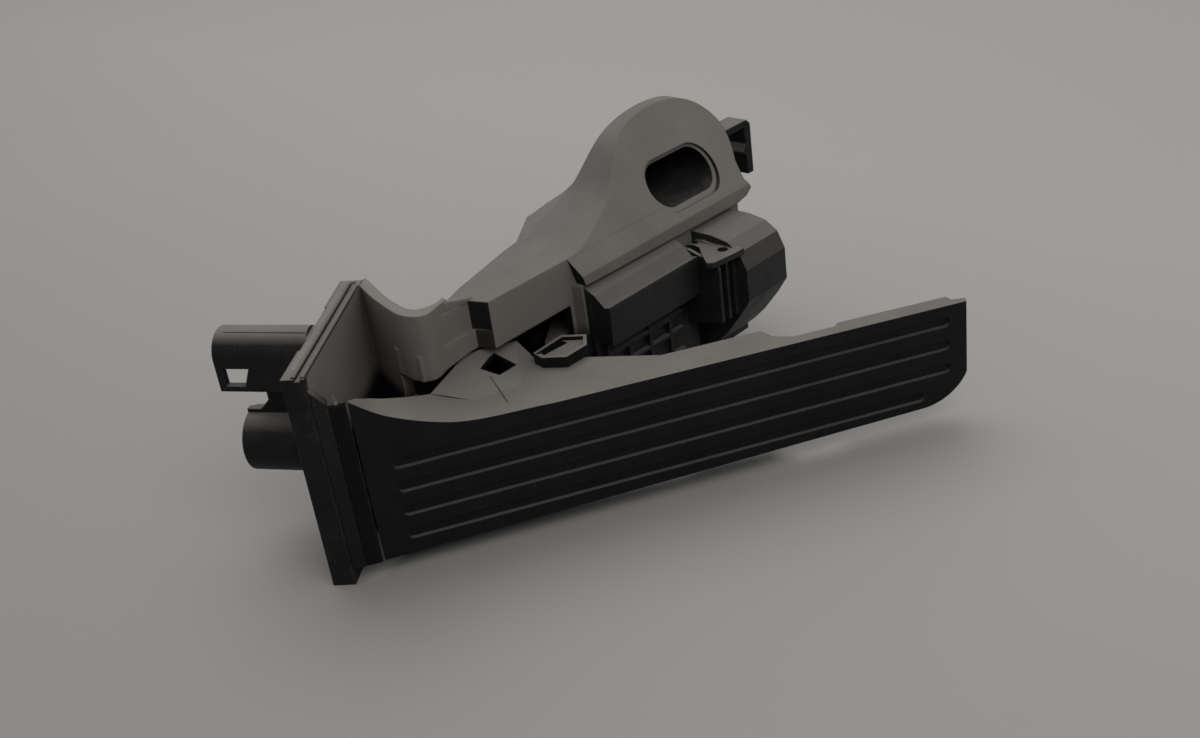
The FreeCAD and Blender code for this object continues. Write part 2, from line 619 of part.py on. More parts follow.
def make_hinge_strip():
    """Flexible strip between heel and pad."""
    body = new_body("hinge_strip")
    seat = heel_thick + seat_gap
    pad(body, "strip", "XY_Plane", -pad_width, pad_width, [
        heel_place(as_size(0.4), seat), heel_place(hinge_thick, seat + hinge_thick), (-hinge_end / 2, -0.5),
        (-hinge_end, -0.5 + hinge_thick), heel_place(hinge_bead, seat + hinge_thick),
        heel_place(hinge_bead, seat)])
    stand(body)
    return keep(body, "hinge_strip")


def make_casing_body():
    """The casing with its heel flange and gusset, before the ear joins it."""
    body = new_body("casing")
    floor = casing_floor
    pad(body, "lower_casing", "XY_Plane", floor, shelf - floor, [
        (nose_left, nose_front + 2.0), (nose_left + 3.0, nose_front), (nose_right, nose_front),
        (flank_left, flank_front), (bay_left - 2.0, flank_front), (bay_left, bay_front),
        (casing_right, bay_front), (casing_right, wall_plane), (140.0, wall_plane), (112.0, 39.0),
        (92.0, 34.0), (62.0, 27.0), (nose_left + 4.0, 27.0), (nose_left, 20.0)])
    pad(body, "upper_casing", "XY_Plane", shelf - 1.0, casing_top - shelf + 1.0, [
        (nose_left + 6.0, nose_front), (nose_right, nose_front + 1.5), (flank_left, flank_front),
        (bay_left + 20.0, flank_front), (casing_right - 4.0, flank_front), (casing_right - 4.0, wall_plane),
        (wall_plane + 100.0, wall_plane), (115.0, 30.4), (94.0, 26.0), (65.0, 17.5),
        (nose_left + 10.4, 8.6 + 1.5)])
    doc.recompute()

    # Gusset: a thin wall that runs from the far end of the flange round to the nose
    gusset = new_sketch(body, "gusset_outline", "XY_Plane", floor)
    far = heel_place(heel_length - 2.0, heel_thick * 0.7)
    outer = [(far[0] - 2.0, far[1] - 2.0), (nose_left + 4.2, 34.0), (nose_left + 0.6, 20.0),
             (nose_left, nose_front + 4.0), (nose_left + 3.0, nose_front - 0.6),
             (nose_left + 8.6, nose_front - 0.2), (nose_left + 15.0, nose_front + 1.6)]
    back = [(nose_left + 15.6, nose_front + 4.2), (nose_left + 9.4, nose_front + 3.0),
            (nose_left + 5.2, nose_front + 5.0), (nose_left + 4.4, 19.0), (nose_left + 8.2, 34.0),
            (far[0] + 2.0, far[1] - 2.0)]
    draw_curve(gusset, outer)
    draw_line(gusset, outer[-1], back[0])
    draw_curve(gusset, back)
    draw_line(gusset, back[-1], outer[0])
    doc.recompute()
    feature(body, "Pad", "gusset", gusset, rim_top - floor)

    stand(body)
    return body


def make_heel_flange():
    """The plate that bears on the car's floor, with rounded far corners and a trough in its edge."""
    body = new_body("heel_flange")
    sketch = new_sketch(body, "flange_outline", "XZ_Plane", 0)
    length = heel_length.value
    top = heel_top.value
    low = -rest_level.value
    radius = heel_corner.value
    normal = vector(0, 0, 1)
    draw_line(sketch, (0, low), (length - radius, low))
    low_centre = vector(length - radius, low + radius, 0)
    sketch.addGeometry(Part.ArcOfCircle(Part.Circle(low_centre, normal, radius), -math.pi / 2, 0), False)
    draw_line(sketch, (length, low + radius), (length, top - radius))
    top_centre = vector(length - radius, top - radius, 0)
    sketch.addGeometry(Part.ArcOfCircle(Part.Circle(top_centre, normal, radius), 0, math.pi / 2), False)
    draw_line(sketch, (length - radius, top), (0, top))
    draw_line(sketch, (0, top), (0, low))
    doc.recompute()
    feature(body, "Pad", "flange", sketch, heel_thick)
    pocket(body, "heel_trough", "XY_Plane", heel_top + 1.0, heel_groove + 1.0,
           box_points(-4.0, heel_length - heel_corner, -(heel_ridge + heel_trough), -heel_ridge))

    # The leaning pegs stand in a shallow relief, so that the rest of the face bears on the floor
    left = peg_along - lower_peg_radius - 2.0
    right = peg_along + lower_peg_radius + 6.4
    pocket(body, "peg_relief", "XZ_Plane", 0, heel_relief,
           box_points(left, right, -(lower_peg_level + lower_peg_radius + 2.0), heel_top + 2.0), True)
    stand(body, heel_x, heel_y, 0.0, heel_angle)
    return body


def make_ear():
    """The ear that carries the bolt: level behind its leaning face, then lofted back to the wall."""
    crease = [(99.0, 6.3), (106.0, 6.9), (113.0, 9.2), (126.0, 14.6), (136.0, 21.6), (149.0, 31.2),
              (158.0, 34.2), (164.0, 35.2), (178.0, 35.2), (188.0, 32.6), (194.6, 27.4), (197.8, 21.0),
              (196.8, 14.0), (194.0, 8.0)]
    back = [(124.0, 3.6), (128.0, 4.0), (134.0, 5.0), (146.0, 6.5), (154.0, 9.5), (161.0, 13.5),
        (167.0, 17.0),
            (172.0, 19.5), (182.0, 22.4), (192.0, 23.0), (200.0, 21.5), (202.0, 17.0), (201.0, 11.0),
            (199.0, 5.0)]
    foot_front = [(193.0, 2.0), (195.0, -2.0), (192.0, -4.2), (186.0, -5.4), (102.0, -4.1)]
    foot_back = [(199.0, 1.0), (199.0, -3.0), (196.0, -5.0), (190.0, -5.4), (126.0, -4.1)]
    wires = []
    for level, top, low in ((-8.0, crease, foot_front), (ear_strip.value, crease, foot_front),
                            (wall_plane.value, back, foot_back)):
        curve = Part.BSplineCurve()
        curve.interpolate([vector(x, level, z) for x, z in top])
        edges = [curve.toShape()]
        places = [vector(x, level, z) for x, z in [top[-1]] + low + [top[0]]]
        for start, end in zip(places, places[1:]):
            edges.append(Part.LineSegment(start, end).toShape())
        wires.append(Part.Wire(edges))
    ear = doc.addObject("Part::Feature", "ear_loft")
    ear.Shape = Part.makeLoft(wires, True, True)
    stand(ear)
    return ear


def make_face_cut(name, behind):
    """The wedge in front of the ear's leaning face, or of a face a little behind it."""
    body = new_body(name)
    high = 60.0
    low = -30.0
    roll = (ear_skirt - ear_base) / ear_slope
    far_front = ear_skirt - 60.0
    pad(body, "wedge", "YZ_Plane", flank_left, 160.0, [
        (far_front, low), (ear_skirt + behind, low), (ear_skirt + behind, roll),
        (ear_base + ear_slope * high + behind, high), (far_front, high)])
    stand(body)
    return body


def stadium(body, name, level, length, half_long, half_short, reverse):
    """A slot with round ends in the wall direction, about the middle of the bolt well."""
    sketch = new_sketch(body, name + "_outline", "XZ_Plane", level)
    straight = half_long - half_short
    left = well_x - straight
    right = well_x + straight
    low = well_z - half_short
    high = well_z + half_short
    places = [vector(number(x), number(z), 0) for x, z in ((left, high), (right, high), (right, low),
        (left, low))]
    centre_right = vector(number(right), number(well_z), 0)
    centre_left = vector(number(left), number(well_z), 0)
    radius = number(half_short)
    normal = vector(0, 0, 1)
    quarter = math.pi / 2
    sketch.addGeometry(Part.LineSegment(places[0], places[1]), False)
    sketch.addGeometry(Part.ArcOfCircle(Part.Circle(centre_right, normal, radius), -quarter, quarter), False)
    sketch.addGeometry(Part.LineSegment(places[2], places[3]), False)
    sketch.addGeometry(Part.ArcOfCircle(Part.Circle(centre_left, normal, radius), quarter,
        3 * quarter), False)
    doc.recompute()
    return feature(body, "Pad", name, sketch, length, reverse)


def make_housing():
    """The moulded housing: casing, heel, gusset, ear, pegs and clip in one piece."""
    casing = make_casing_body()
    ear = make_ear()
    wedge = make_face_cut("face_wedge", as_size(0.0))
    lug = boolean("Cut", "ear", [ear, wedge])

    # Half-round upper peg on the heel, with a frame under its near side
    pegs = new_body("pegs")
    peg_x, peg_y = heel_place(peg_along, as_size(0.0))
    sketch = new_sketch(pegs, "upper_outline", "YZ_Plane", -peg_root)
    radius = peg_radius.value
    inner = radius - peg_wall.value
    level = peg_level.value
    ledge = level - peg_wall.value
    axis = vector(0, level, 0)
    normal = vector(0, 0, 1)
    sketch.addGeometry(Part.ArcOfCircle(Part.Circle(axis, normal, radius), 0, math.pi), False)
    draw_line(sketch, (-radius, level), (-radius, ledge))
    draw_line(sketch, (-radius, ledge), (radius, ledge))
    draw_line(sketch, (radius, ledge), (radius, level))
    sketch.addGeometry(Part.ArcOfCircle(Part.Circle(axis, normal, inner), 0, math.pi), False)
    draw_line(sketch, (-inner, level), (inner, level))
    doc.recompute()
    feature(pegs, "Pad", "upper_peg", sketch, peg_reach + peg_root)
    skew = 1.66
    pocket(pegs, "root_trim", "XY_Plane", heel_top + 9.0, 9.0, [
        (-9.0, 12.0), (-skew, 12.0), (skew, -12.0), (-9.0, -12.0)])
    frame_foot = peg_level - peg_wall - peg_frame
    frame_side = peg_radius - frame_wall
    pad(pegs, "upper_frame", "XZ_Plane", -frame_side, frame_wall,
        box_points(-peg_root, peg_reach, frame_foot, peg_level - peg_wall + 0.4), True)
    window_top = peg_level - peg_wall - 0.6
    window_foot = frame_foot + frame_bar
    pocket(pegs, "upper_window", "XZ_Plane", 1.0 - frame_side, frame_wall + 2.0, [
        (peg_reach - 12.0, window_top), (peg_reach - 10.2, window_foot + 2.2),
        (peg_reach - 9.4, window_foot),
        (peg_reach - 2.3, window_foot), (peg_reach - 2.3, window_top)])

    # Lower peg with a fin, and the web that ties the two together
    lower = new_sketch(pegs, "lower_outline", "YZ_Plane", -peg_root)
    draw_circle(lower, 0.0, -lower_peg_level, lower_peg_radius)
    draw_circle(lower, 0.0, -lower_peg_level, lower_peg_radius - peg_wall * 1.4)
    doc.recompute()
    feature(pegs, "Pad", "lower_peg", lower, lower_peg_reach + peg_root)
    fin_foot = fin_top - 2.6
    pad(pegs, "web", "XZ_Plane", 0.2, web_wall, [
        (-peg_root, peg_level - peg_wall + 0.6), (web_reach, peg_level - peg_wall + 0.6),
        (web_reach, fin_top + 3.7), (web_reach + 3.7, fin_top), (lower_peg_reach, fin_top),
        (lower_peg_reach, fin_foot), (-peg_root, fin_foot)], True)
    stand(pegs, peg_x, peg_y, 0.0, peg_angle)

    # Cable clip: an arm with a hanging leg and a tooth
    clip = new_body("cable_clip")
    leg_left = clip_right - clip_leg
    pad(clip, "loop", "XZ_Plane", -(clip_front + clip_depth), clip_depth, [
        (clip_left, clip_top), (clip_right - 2.0, clip_top), (clip_right, clip_top - 2.0),
        (clip_right, clip_low),
        (leg_left, clip_low), (leg_left, 3.0), (leg_left - clip_tooth, 4.6), (leg_left, 7.6),
        (leg_left, clip_top - clip_arm), (clip_left, clip_top - clip_arm)])
    stand(clip)

    pillars = new_body("screw_pillars")
    drills = new_body("screw_drills")
    for index, (across, along) in enumerate(screw_places):
        pillar = new_sketch(pillars, "pillar_outline_%d" % index, "XY_Plane", casing_floor)
        draw_circle(pillar, across, along, screw_radius * 2.6)
        doc.recompute()
        feature(pillars, "Pad", "pillar_%d" % index, pillar, shelf - casing_floor - 0.5)
        drill = new_sketch(drills, "drill_outline_%d" % index, "XY_Plane", casing_floor - 1.0)
        draw_circle(drill, across, along, screw_radius + seat_gap)
        doc.recompute()
        feature(drills, "Pad", "drill_%d" % index, drill, screw_length)
    seat_boss = new_sketch(pillars, "shaft_boss_outline", "XY_Plane", hub_top + gap)
    draw_circle(seat_boss, shaft_x, shaft_y, shaft_radius + boss_wall - 0.8)
    doc.recompute()
    feature(pillars, "Pad", "shaft_boss", seat_boss, casing_top - hub_top - 1.5)
    seat_drill = new_sketch(drills, "shaft_seat_outline", "XY_Plane", hub_top - 1.0)
    draw_circle(seat_drill, shaft_x, shaft_y, shaft_radius + seat_gap)
    doc.recompute()
    feature(drills, "Pad", "shaft_seat", seat_drill, shaft_grip + 1.0)
    stand(pillars)
    stand(drills)

    whole = boolean("MultiFuse", "housing_blank", [casing, make_heel_flange(), lug, pegs, clip])

    # Bolt well: a stadium sunk along the bolt, with a shallow step round its mouth
    well = new_body("bolt_well")
    stadium(well, "well", -well_floor, well_floor + 30.0, well_length / 2 - well_ledge,
            well_height / 2 - well_ledge, False)
    stand(well)
    mouth_step = new_body("well_mouth")
    stadium(mouth_step, "mouth_step", -well_floor, well_floor + 30.0, well_length / 2, well_height / 2,
        False)
    stand(mouth_step)
    step = boolean("MultiCommon", "well_step", [mouth_step, make_face_cut("step_wedge", well_step)])
    seat = doc.addObject("Part::Cylinder", "sleeve_seat")
    bind(seat, "Radius", sleeve_bore + sleeve_wall + seat_gap)
    bind(seat, "Height", 30.0)
    seat.Placement.Rotation = FreeCAD.Rotation(vector(1, 0, 0), -90)
    stand(seat, bolt_x, well_floor - 1.0, well_z)

    # Room for the lever, and the opening towards the pad
    room = new_body("lever_room")
    pad(room, "lower_room", "XY_Plane", casing_floor - 1.0, shelf - wall - casing_floor + 1.0, [
        (nose_left + 4.6, nose_front + 2.0), (flank_left + 1.0, nose_front),
        (flank_left + 3.0, flank_front + wall),
        (bay_left, flank_front + wall), (bay_left + wall, bay_front + wall),
        (casing_right - wall, bay_front + wall),
        (casing_right - wall, wall_plane - wall), (141.0, wall_plane - wall), (112.6, 39.0 - wall),
        (92.6, 34.0 - wall), (62.6, 27.0 - wall), (nose_left + 6.0, 27.0 - wall), (nose_left + 4.6, 20.0)])
    pad(room, "upper_room", "XY_Plane", shelf - wall - 0.5, casing_top - shelf + 0.5, [
        (flank_left + wall, flank_front + wall), (bay_left + 44.0, flank_front + wall),
        (bay_left + 44.0, 36.0), (115.0, 30.4 - wall), (94.6, 26.0 - wall), (65.6, 17.5 - wall)])
    pad(room, "mouth", "XZ_Plane", 4.0, 16.0, [
        (mouth_left, mouth_low), (mouth_right, mouth_low), (mouth_right, mouth_top), (56.0, mouth_top),
        (mouth_left, mouth_top - 1.8)], True)
    # Slot round the nose, which the pad's upper edge wall enters at full travel
    pad(room, "nose_slot", "XZ_Plane", 6.0, 26.0, [
        (nose_left - 6.0, nose_slot_low), (mouth_left + 1.0, nose_slot_low),
        (mouth_left + 1.0, mouth_top - 1.7),
        (nose_left - 6.0, mouth_top - 3.5)], True)
    # Windows of the sensor behind its cover
    pad(room, "sensor_window", "XZ_Plane", 8.0, 12.0,
        box_points(shaft_x - 14.0, shaft_x + 14.0, -44.0, -14.0), True)
    stand(room)

    shell = boolean("Cut", "housing_shell", [whole, boolean("MultiFuse", "housing_rooms", [well, step,
        seat, room])])
    braced = boolean("MultiFuse", "braced_shell", [shell, pillars])
    housing = boolean("Cut", "housing", [braced, drills])
    doc.recompute()
    return keep(housing, "housing")


def make_bolt_sleeve():
    sleeve = new_body("bolt_sleeve")
    sketch = new_sketch(sleeve, "ring", "XZ_Plane", -wall_plane)
    draw_circle(sketch, bolt_x, well_z, sleeve_bore + sleeve_wall)
    draw_circle(sketch, bolt_x, well_z, sleeve_bore)
    doc.recompute()
    feature(sleeve, "Pad", "tube", sketch, wall_plane - well_floor + 0.4)
    stand(sleeve)
    return keep(sleeve, "bolt_sleeve")


def make_lever():
    """The lever inside the housing: hub, bowed arm with a slotted top, and a fork round the pin."""
    body = new_body("lever")
    hub = new_sketch(body, "hub_outline", "XY_Plane", hub_low)
    draw_circle(hub, shaft_x, shaft_y, hub_radius)
    doc.recompute()
    feature(body, "Pad", "hub", hub, hub_top - hub_low)
    half = pin_radius + pin_slack + fork_wall
    pad(body, "arm", "XY_Plane", arm_low, arm_top - arm_low, [
        arm_place(-fork_reach, -half), arm_place(fork_run + 6.0, -half), (76.0, -arm_bow + 1.0),
        (84.5, -arm_bow), (90.2, -arm_bow + 5.2), (95.6, 4.2), (112.0, 7.2),
        (shaft_x, shaft_y - hub_radius + 0.6),
        (shaft_x, shaft_y), (shaft_x - 5.0, shaft_y + hub_radius - 1.8), (102.0, 17.0), (89.0, 7.0),
        (85.4, -6.3),
        (82.5, -9.2), (71.5, -7.6), arm_place(fork_run + 5.0, half), arm_place(-fork_reach, half)])
    pocket(body, "fork_slot", "XY_Plane", arm_top + 1.0, arm_top - arm_low + 2.0, [
        arm_place(-fork_reach - 4.0, -pin_radius - pin_slack), arm_place(fork_run + 0.8,
        -pin_radius - pin_slack),
        arm_place(fork_run + pin_radius + pin_slack, -pin_radius * 0.6),
        arm_place(fork_run + pin_radius + pin_slack, pin_radius * 0.6),
        arm_place(fork_run + 0.8, pin_radius + pin_slack), arm_place(-fork_reach - 4.0,
        pin_radius + pin_slack)])
    pocket(body, "arm_slot_top", "XY_Plane", arm_top, arm_slot, [
        (76.0, -12.0), (84.0, -13.6), (90.0, -8.4), (92.0, 2.0), (84.0, -7.6)])
    for name, level in (("upper_bush_seat", hub_top - bush_length), ("lower_bush_seat", hub_low)):
        seat = new_sketch(body, name + "_outline", "XY_Plane", level)
        draw_circle(seat, shaft_x, shaft_y, shaft_radius + bush_wall + seat_gap)
        doc.recompute()
        feature(body, "Pocket", name, seat, bush_length, True)
    bore = new_sketch(body, "bore_outline", "XY_Plane", hub_low)
    draw_circle(bore, shaft_x, shaft_y, shaft_radius + gap)
    doc.recompute()
    feature(body, "Pocket", "bore", bore, 0, True, True)
    stand(body)
    return keep(body, "lever")


def make_lever_shaft():
    shaft = doc.addObject("Part::Cylinder", "lever_shaft")
    bind(shaft, "Radius", shaft_radius)
    bind(shaft, "Height", hub_top - casing_floor + shaft_grip - seat_gap * 2)
    stand(shaft, shaft_x, shaft_y, casing_floor + seat_gap)
    return keep(shaft, "lever_shaft")


def make_bush(name, level):
    bush = new_body(name)
    sketch = new_sketch(bush, "ring", "XY_Plane", 0)
    draw_circle(sketch, 0.0, 0.0, shaft_radius + bush_wall)
    draw_circle(sketch, 0.0, 0.0, shaft_radius + seat_gap * 2)
    doc.recompute()
    feature(bush, "Pad", "tube", sketch, bush_length)
    stand(bush, shaft_x, shaft_y, level)
    return keep(bush, name)


def wire_section(radius, rise, wire):
    """The many-sided section of a spring's wire, square to the start of its coil."""
    lean = math.atan2(rise, 2 * math.pi * radius)
    places = []
    for index in range(int(wire_sides.value)):
        angle = 2 * math.pi * (index + 0.5) / wire_sides.value
        out = wire * math.cos(angle)
        up = wire * math.sin(angle)
        places.append(vector(radius + out, -up * math.sin(lean), up * math.cos(lean)))
    return Part.makePolygon(places + [places[0]])


def make_return_spring(name, level, turn):
    """A coil spring round the hub: turns of round wire with two straight legs."""
    height = spring_pitch.value * spring_turns.value
    spring_radius = hub_radius.value + gap.value + spring_wire.value
    helix = Part.makeHelix(spring_pitch.value, height, spring_radius)
    section = wire_section(spring_radius, spring_pitch.value, spring_wire.value)
    coil = Part.Wire(helix).makePipeShell([section], True, True)
    spring = doc.addObject("Part::Feature", name)
    spring.Shape = coil
    stand(spring, shaft_x, shaft_y, level, turn)
    return keep(spring, name)


def make_side_cover():
    """The plate that closes the casing, with screw bosses that touch the table."""
    cover = new_body("side_cover")
    top = casing_floor - seat_gap
    pad(cover, "plate", "XY_Plane", top - lid_thick, lid_thick, [
        (flank_left, flank_front), (bay_left - 2.0, flank_front), (bay_left, bay_front),
        (casing_right, bay_front),
        (casing_right, wall_plane), (140.0, wall_plane), (112.0, 39.0), (92.0, 34.0), (62.0, 27.0),
        (nose_left + 6.0, 27.0), (nose_left + 6.0, nose_front)])
    seat = new_sketch(cover, "shaft_boss_outline", "XY_Plane", top - 1.0)
    draw_circle(seat, shaft_x, shaft_y, shaft_radius + boss_wall - 0.8)
    doc.recompute()
    feature(cover, "Pad", "shaft_boss", seat, hub_low - gap - top + 1.0)
    bore = new_sketch(cover, "shaft_bore_outline", "XY_Plane", top)
    draw_circle(bore, shaft_x, shaft_y, shaft_radius + seat_gap)
    doc.recompute()
    feature(cover, "Pocket", "shaft_bore", bore, hub_low - top + 1.0, True)
    for index, (across, along) in enumerate(screw_places):
        boss = new_sketch(cover, "boss_outline_%d" % index, "XY_Plane", -rest_level)
        draw_circle(boss, across, along, foot_radius)
        doc.recompute()
        feature(cover, "Pad", "boss_%d" % index, boss, rest_level + top - lid_thick + 1.0)
        hole = new_sketch(cover, "head_outline_%d" % index, "XY_Plane", -rest_level)
        draw_circle(hole, across, along, screw_head + 0.4)
        doc.recompute()
        head_room = rest_level + casing_floor - lid_thick - 1.0 + seat_gap
        feature(cover, "Pocket", "head_room_%d" % index, hole, head_room, True)
        shank = new_sketch(cover, "shank_outline_%d" % index, "XY_Plane", -rest_level)
        draw_circle(shank, across, along, screw_radius + seat_gap)
        doc.recompute()
        feature(cover, "Pocket", "shank_hole_%d" % index, shank, 0, True, True)
    stand(cover)
    return keep(cover, "side_cover")


def make_sensor_cover():
    """The hood over the sensor: a sloping top, a short front wall and two end walls."""
    cover = new_body("sensor_cover")
    bottom = cover_low
    pad(cover, "hood", "YZ_Plane", cover_left, cover_right - cover_left, [
        (bay_front - seat_gap, cover_back_top), (bay_front - 4.8, cover_top + 3.1), (-12.1, cover_top - 0.6),
        (cover_front + 0.2, cover_top), (cover_front, cover_top - 1.4), (cover_front + 0.6, bottom),
        (cover_front + 0.6 + cover_wall, bottom), (cover_front + cover_wall, cover_top - cover_wall - 0.4),
        (-11.4, cover_top - cover_wall - 1.0), (bay_front - 4.8, cover_top + 0.7),
        (bay_front - seat_gap, cover_back_top - 2.6)])
    tray_face = bay_front - seat_gap * 2 - tray_wall
    tray_top = cover_low + 14.0 + seat_gap
    for name, left in (("left_end", cover_left), ("right_end", cover_right - cover_end)):
        pad(cover, name, "YZ_Plane", left, cover_end, [
            (tray_face, bottom), (tray_face, tray_top), (bay_front - seat_gap, tray_top),
            (bay_front - seat_gap, cover_back_top - 1.0), (bay_front - 4.8, cover_top + 2.0),
            (-12.1, cover_top - 1.2), (cover_front + 0.8, cover_top - 1.4), (cover_front + 1.2, bottom)])
    stand(cover)
    return keep(cover, "sensor_cover")


def make_sensor_housing():
    """Tray behind the cover, ribbed wall, and the rounded block that carries the connector."""
    body = new_body("sensor_housing")
    back = bay_front - seat_gap
    face = back - tray_wall
    pad(body, "tray", "XZ_Plane", -back, tray_wall,
        box_points(cover_left, block_left + 4.0, tray_low, cover_low + 14.0))
    pad(body, "block", "YZ_Plane", block_left + 8.0, block_right - block_left - 8.0, [
        (back, block_top), (-12.6, block_top), (-20.0, block_top - 1.2),
        (block_front + 3.0, block_top - 4.6),
        (block_front, block_top - 11.0), (block_front, -30.0), (-23.3, -37.3), (-16.3, block_low),
        (back, block_low)])
    pad(body, "low_tail", "YZ_Plane", block_left + 8.0, block_right - block_left - 8.0, [
        (back, block_low + 1.0), (-16.3, block_low), (-11.4, -51.0), (back, -58.0)])

    # Upright ribs beside the block, with sloping tops
    for index in range(int(rib_count.value)):
        left = block_left - 1.6 + index * rib_step
        pad(body, "block_rib_%d" % index, "YZ_Plane", left, tray_rib, [
            (face + 0.4, -9.6), (-9.0, -9.0), (block_front + 6.0, -12.6 + index),
            (block_front + 5.0, -14.6 + index),
            (block_front + 5.4, -36.0), (face + 0.4, -40.0)])
    pad(body, "block_shelf", "XY_Plane", -11.8, 2.2, [
        (block_left + 10.0, back), (block_left - 1.6, -15.8), (block_left - 6.6, -22.2),
        (block_left - 5.4, -24.4),
        (block_left + 6.0, -26.2), (block_left + 10.0, -26.2)])

    # Low walls that stiffen the tray under the cover, like a maze
    for index in range(4):
        left = cover_left + 3.0 + index * 11.0
        pad(body, "stiffener_%d" % index, "XZ_Plane", -face - 0.4, tray_relief + 0.4,
            box_points(left, left + tray_rib, tray_low + 3.0 + 5.0 * (index % 2),
            cover_low - 3.0 - 4.0 * (index % 2)))
    for name, level in (("low", tray_low + 7.0), ("mid", tray_low + 16.0), ("high", cover_low - 8.0)):
        pad(body, "stiffener_" + name, "XZ_Plane", -face - 0.4, tray_relief + 0.4,
            box_points(cover_left + 3.0, block_left - 6.0, level, level + tray_rib))

    # Connector socket, open along the housing
    pocket(body, "socket", "YZ_Plane", block_right, socket_depth, box_points(
        block_front + socket_wall + 1.2, face - socket_wall - 1.0, -31.5, block_top - 4.6 - socket_wall))
    screw = new_sketch(body, "fixing_outline", "XY_Plane", 0)
    draw_circle(screw, block_left + 5.4, -19.9, fixing_radius)
    doc.recompute()
    feature(body, "Pocket", "fixing_hole", screw, 12.0)
    stand(body)
    return keep(body, "sensor_housing")


def make_connector_pins():
    contacts = []
    for index in range(int(pin_count.value)):
        contact = doc.addObject("Part::Box", "contact_%d" % index)
        bind(contact, "Length", pin_length)
        bind(contact, "Width", pin_side)
        bind(contact, "Height", pin_side)
        bind(contact, "Placement.Base.y", -pin_side / 2)
        bind(contact, "Placement.Base.z", pin_pitch * (index - 2.5) - pin_side / 2)
        contacts.append(contact)
    group = doc.addObject("Part::Compound", "connector_pins")
    group.Links = contacts
    stand(group, block_right - socket_depth + seat_gap, (block_front + bay_front) / 2 - 1.0, -23.0)
    return keep(group, "connector_pins")


def make_sensor_board():
    board = doc.addObject("Part::Box", "sensor_board")
    bind(board, "Length", cover_right - cover_left - 5.0)
    bind(board, "Width", board_thick)
    bind(board, "Height", 13.0)
    stand(board, cover_left + 2.5, bay_front - tray_wall - board_thick - seat_gap * 2, cover_low + 0.6)
    return keep(board, "sensor_board")


def make_cover_seal():
    """Rubber strip between the tray's lower edge and the cover's front wall."""
    seal = doc.addObject("Part::Box", "cover_seal")
    bind(seal, "Length", cover_right - cover_left - 4.0)
    bind(seal, "Width", 1.6)
    bind(seal, "Height", 2.0)
    stand(seal, cover_left + 2.0, cover_front + cover_wall + 0.75, cover_low + 0.4)
    return keep(seal, "cover_seal")


def make_sensor_target():
    """Curved metal plate on the hub, which the board senses."""
    target = new_body("sensor_target")
    ring = new_sketch(target, "ring", "XY_Plane", -38.0)
    draw_circle(ring, 0.0, 0.0, hub_radius + target_thick + seat_gap)
    draw_circle(ring, 0.0, 0.0, hub_radius + seat_gap)
    doc.recompute()
    feature(target, "Pad", "tube", ring, 13.6)
    pocket(target, "open_side", "XY_Plane", -23.0, 16.0, [
        (-20.0, 20.0), (-20.0, -1.0), (20.0, -1.0), (20.0, 20.0)])
    pocket(target, "left_side", "XY_Plane", -23.0, 16.0, [(-20.0, 0.0), (-20.0, -20.0), (0.6, -20.0),
        (0.6, 0.0)])
    stand(target, shaft_x, shaft_y)
    return keep(target, "sensor_target")


def make_friction_shoe():
    """Plastic shoe that rubs on the back of the hub and gives the pedal its drag."""
    shoe = new_body("friction_shoe")
    ring = new_sketch(shoe, "ring", "XY_Plane", 0)
    draw_circle(ring, 0.0, 0.0, hub_radius + gap + shoe_thick)
    draw_circle(ring, 0.0, 0.0, hub_radius + gap)
    doc.recompute()
    feature(shoe, "Pad", "tube", ring, shoe_height)
    pocket(shoe, "open_side", "XY_Plane", shoe_height + 1.0, shoe_height + 2.0, [
        (-20.0, 20.0), (-20.0, -20.0), (20.0, -20.0), (20.0, 4.0), (shoe_shift - 5.0, 4.0),
        (shoe_shift - 5.0, 20.0)])
    pad(shoe, "spring_seat", "XZ_Plane", -(hub_radius + gap + 1.0), shoe_thick + 0.6,
        box_points(shoe_shift - 4.0, shoe_shift + 3.0, 0.0, shoe_height), True)
    stand(shoe, shaft_x, shaft_y, (arm_top + arm_low) / 2 - shoe_height / 2)
    return keep(shoe, "friction_shoe")


def make_shoe_spring():
    """Small coil spring between the friction shoe and the back wall of the casing."""
    start = shaft_y + hub_radius + gap + shoe_thick + 1.6 + spring_seat_gap
    length = shoe_spring_length.value
    coil_radius = 3.0
    rise = length / 5
    helix = Part.makeHelix(rise, length, coil_radius)
    section = wire_section(coil_radius, rise, 0.5)
    coil = Part.Wire(helix).makePipeShell([section], True, True)
    spring = doc.addObject("Part::Feature", "shoe_spring")
    spring.Shape = coil
    spring.Placement.Rotation = FreeCAD.Rotation(vector(1, 0, 0), -90)
    stand(spring, shaft_x + shoe_shift, start, (arm_top + arm_low) / 2)
    return keep(spring, "shoe_spring")


def make_buffer(name, across, start, length):
    """Rubber buffer that a wall of the casing carries, facing the lever."""
    rubber = doc.addObject("Part::Cylinder", name)
    bind(rubber, "Radius", buffer_radius)
    bind(rubber, "Height", length)
    rubber.Placement.Rotation = FreeCAD.Rotation(vector(1, 0, 0), -90)
    stand(rubber, across, start, (arm_top + arm_low) / 2)
    return keep(rubber, name)


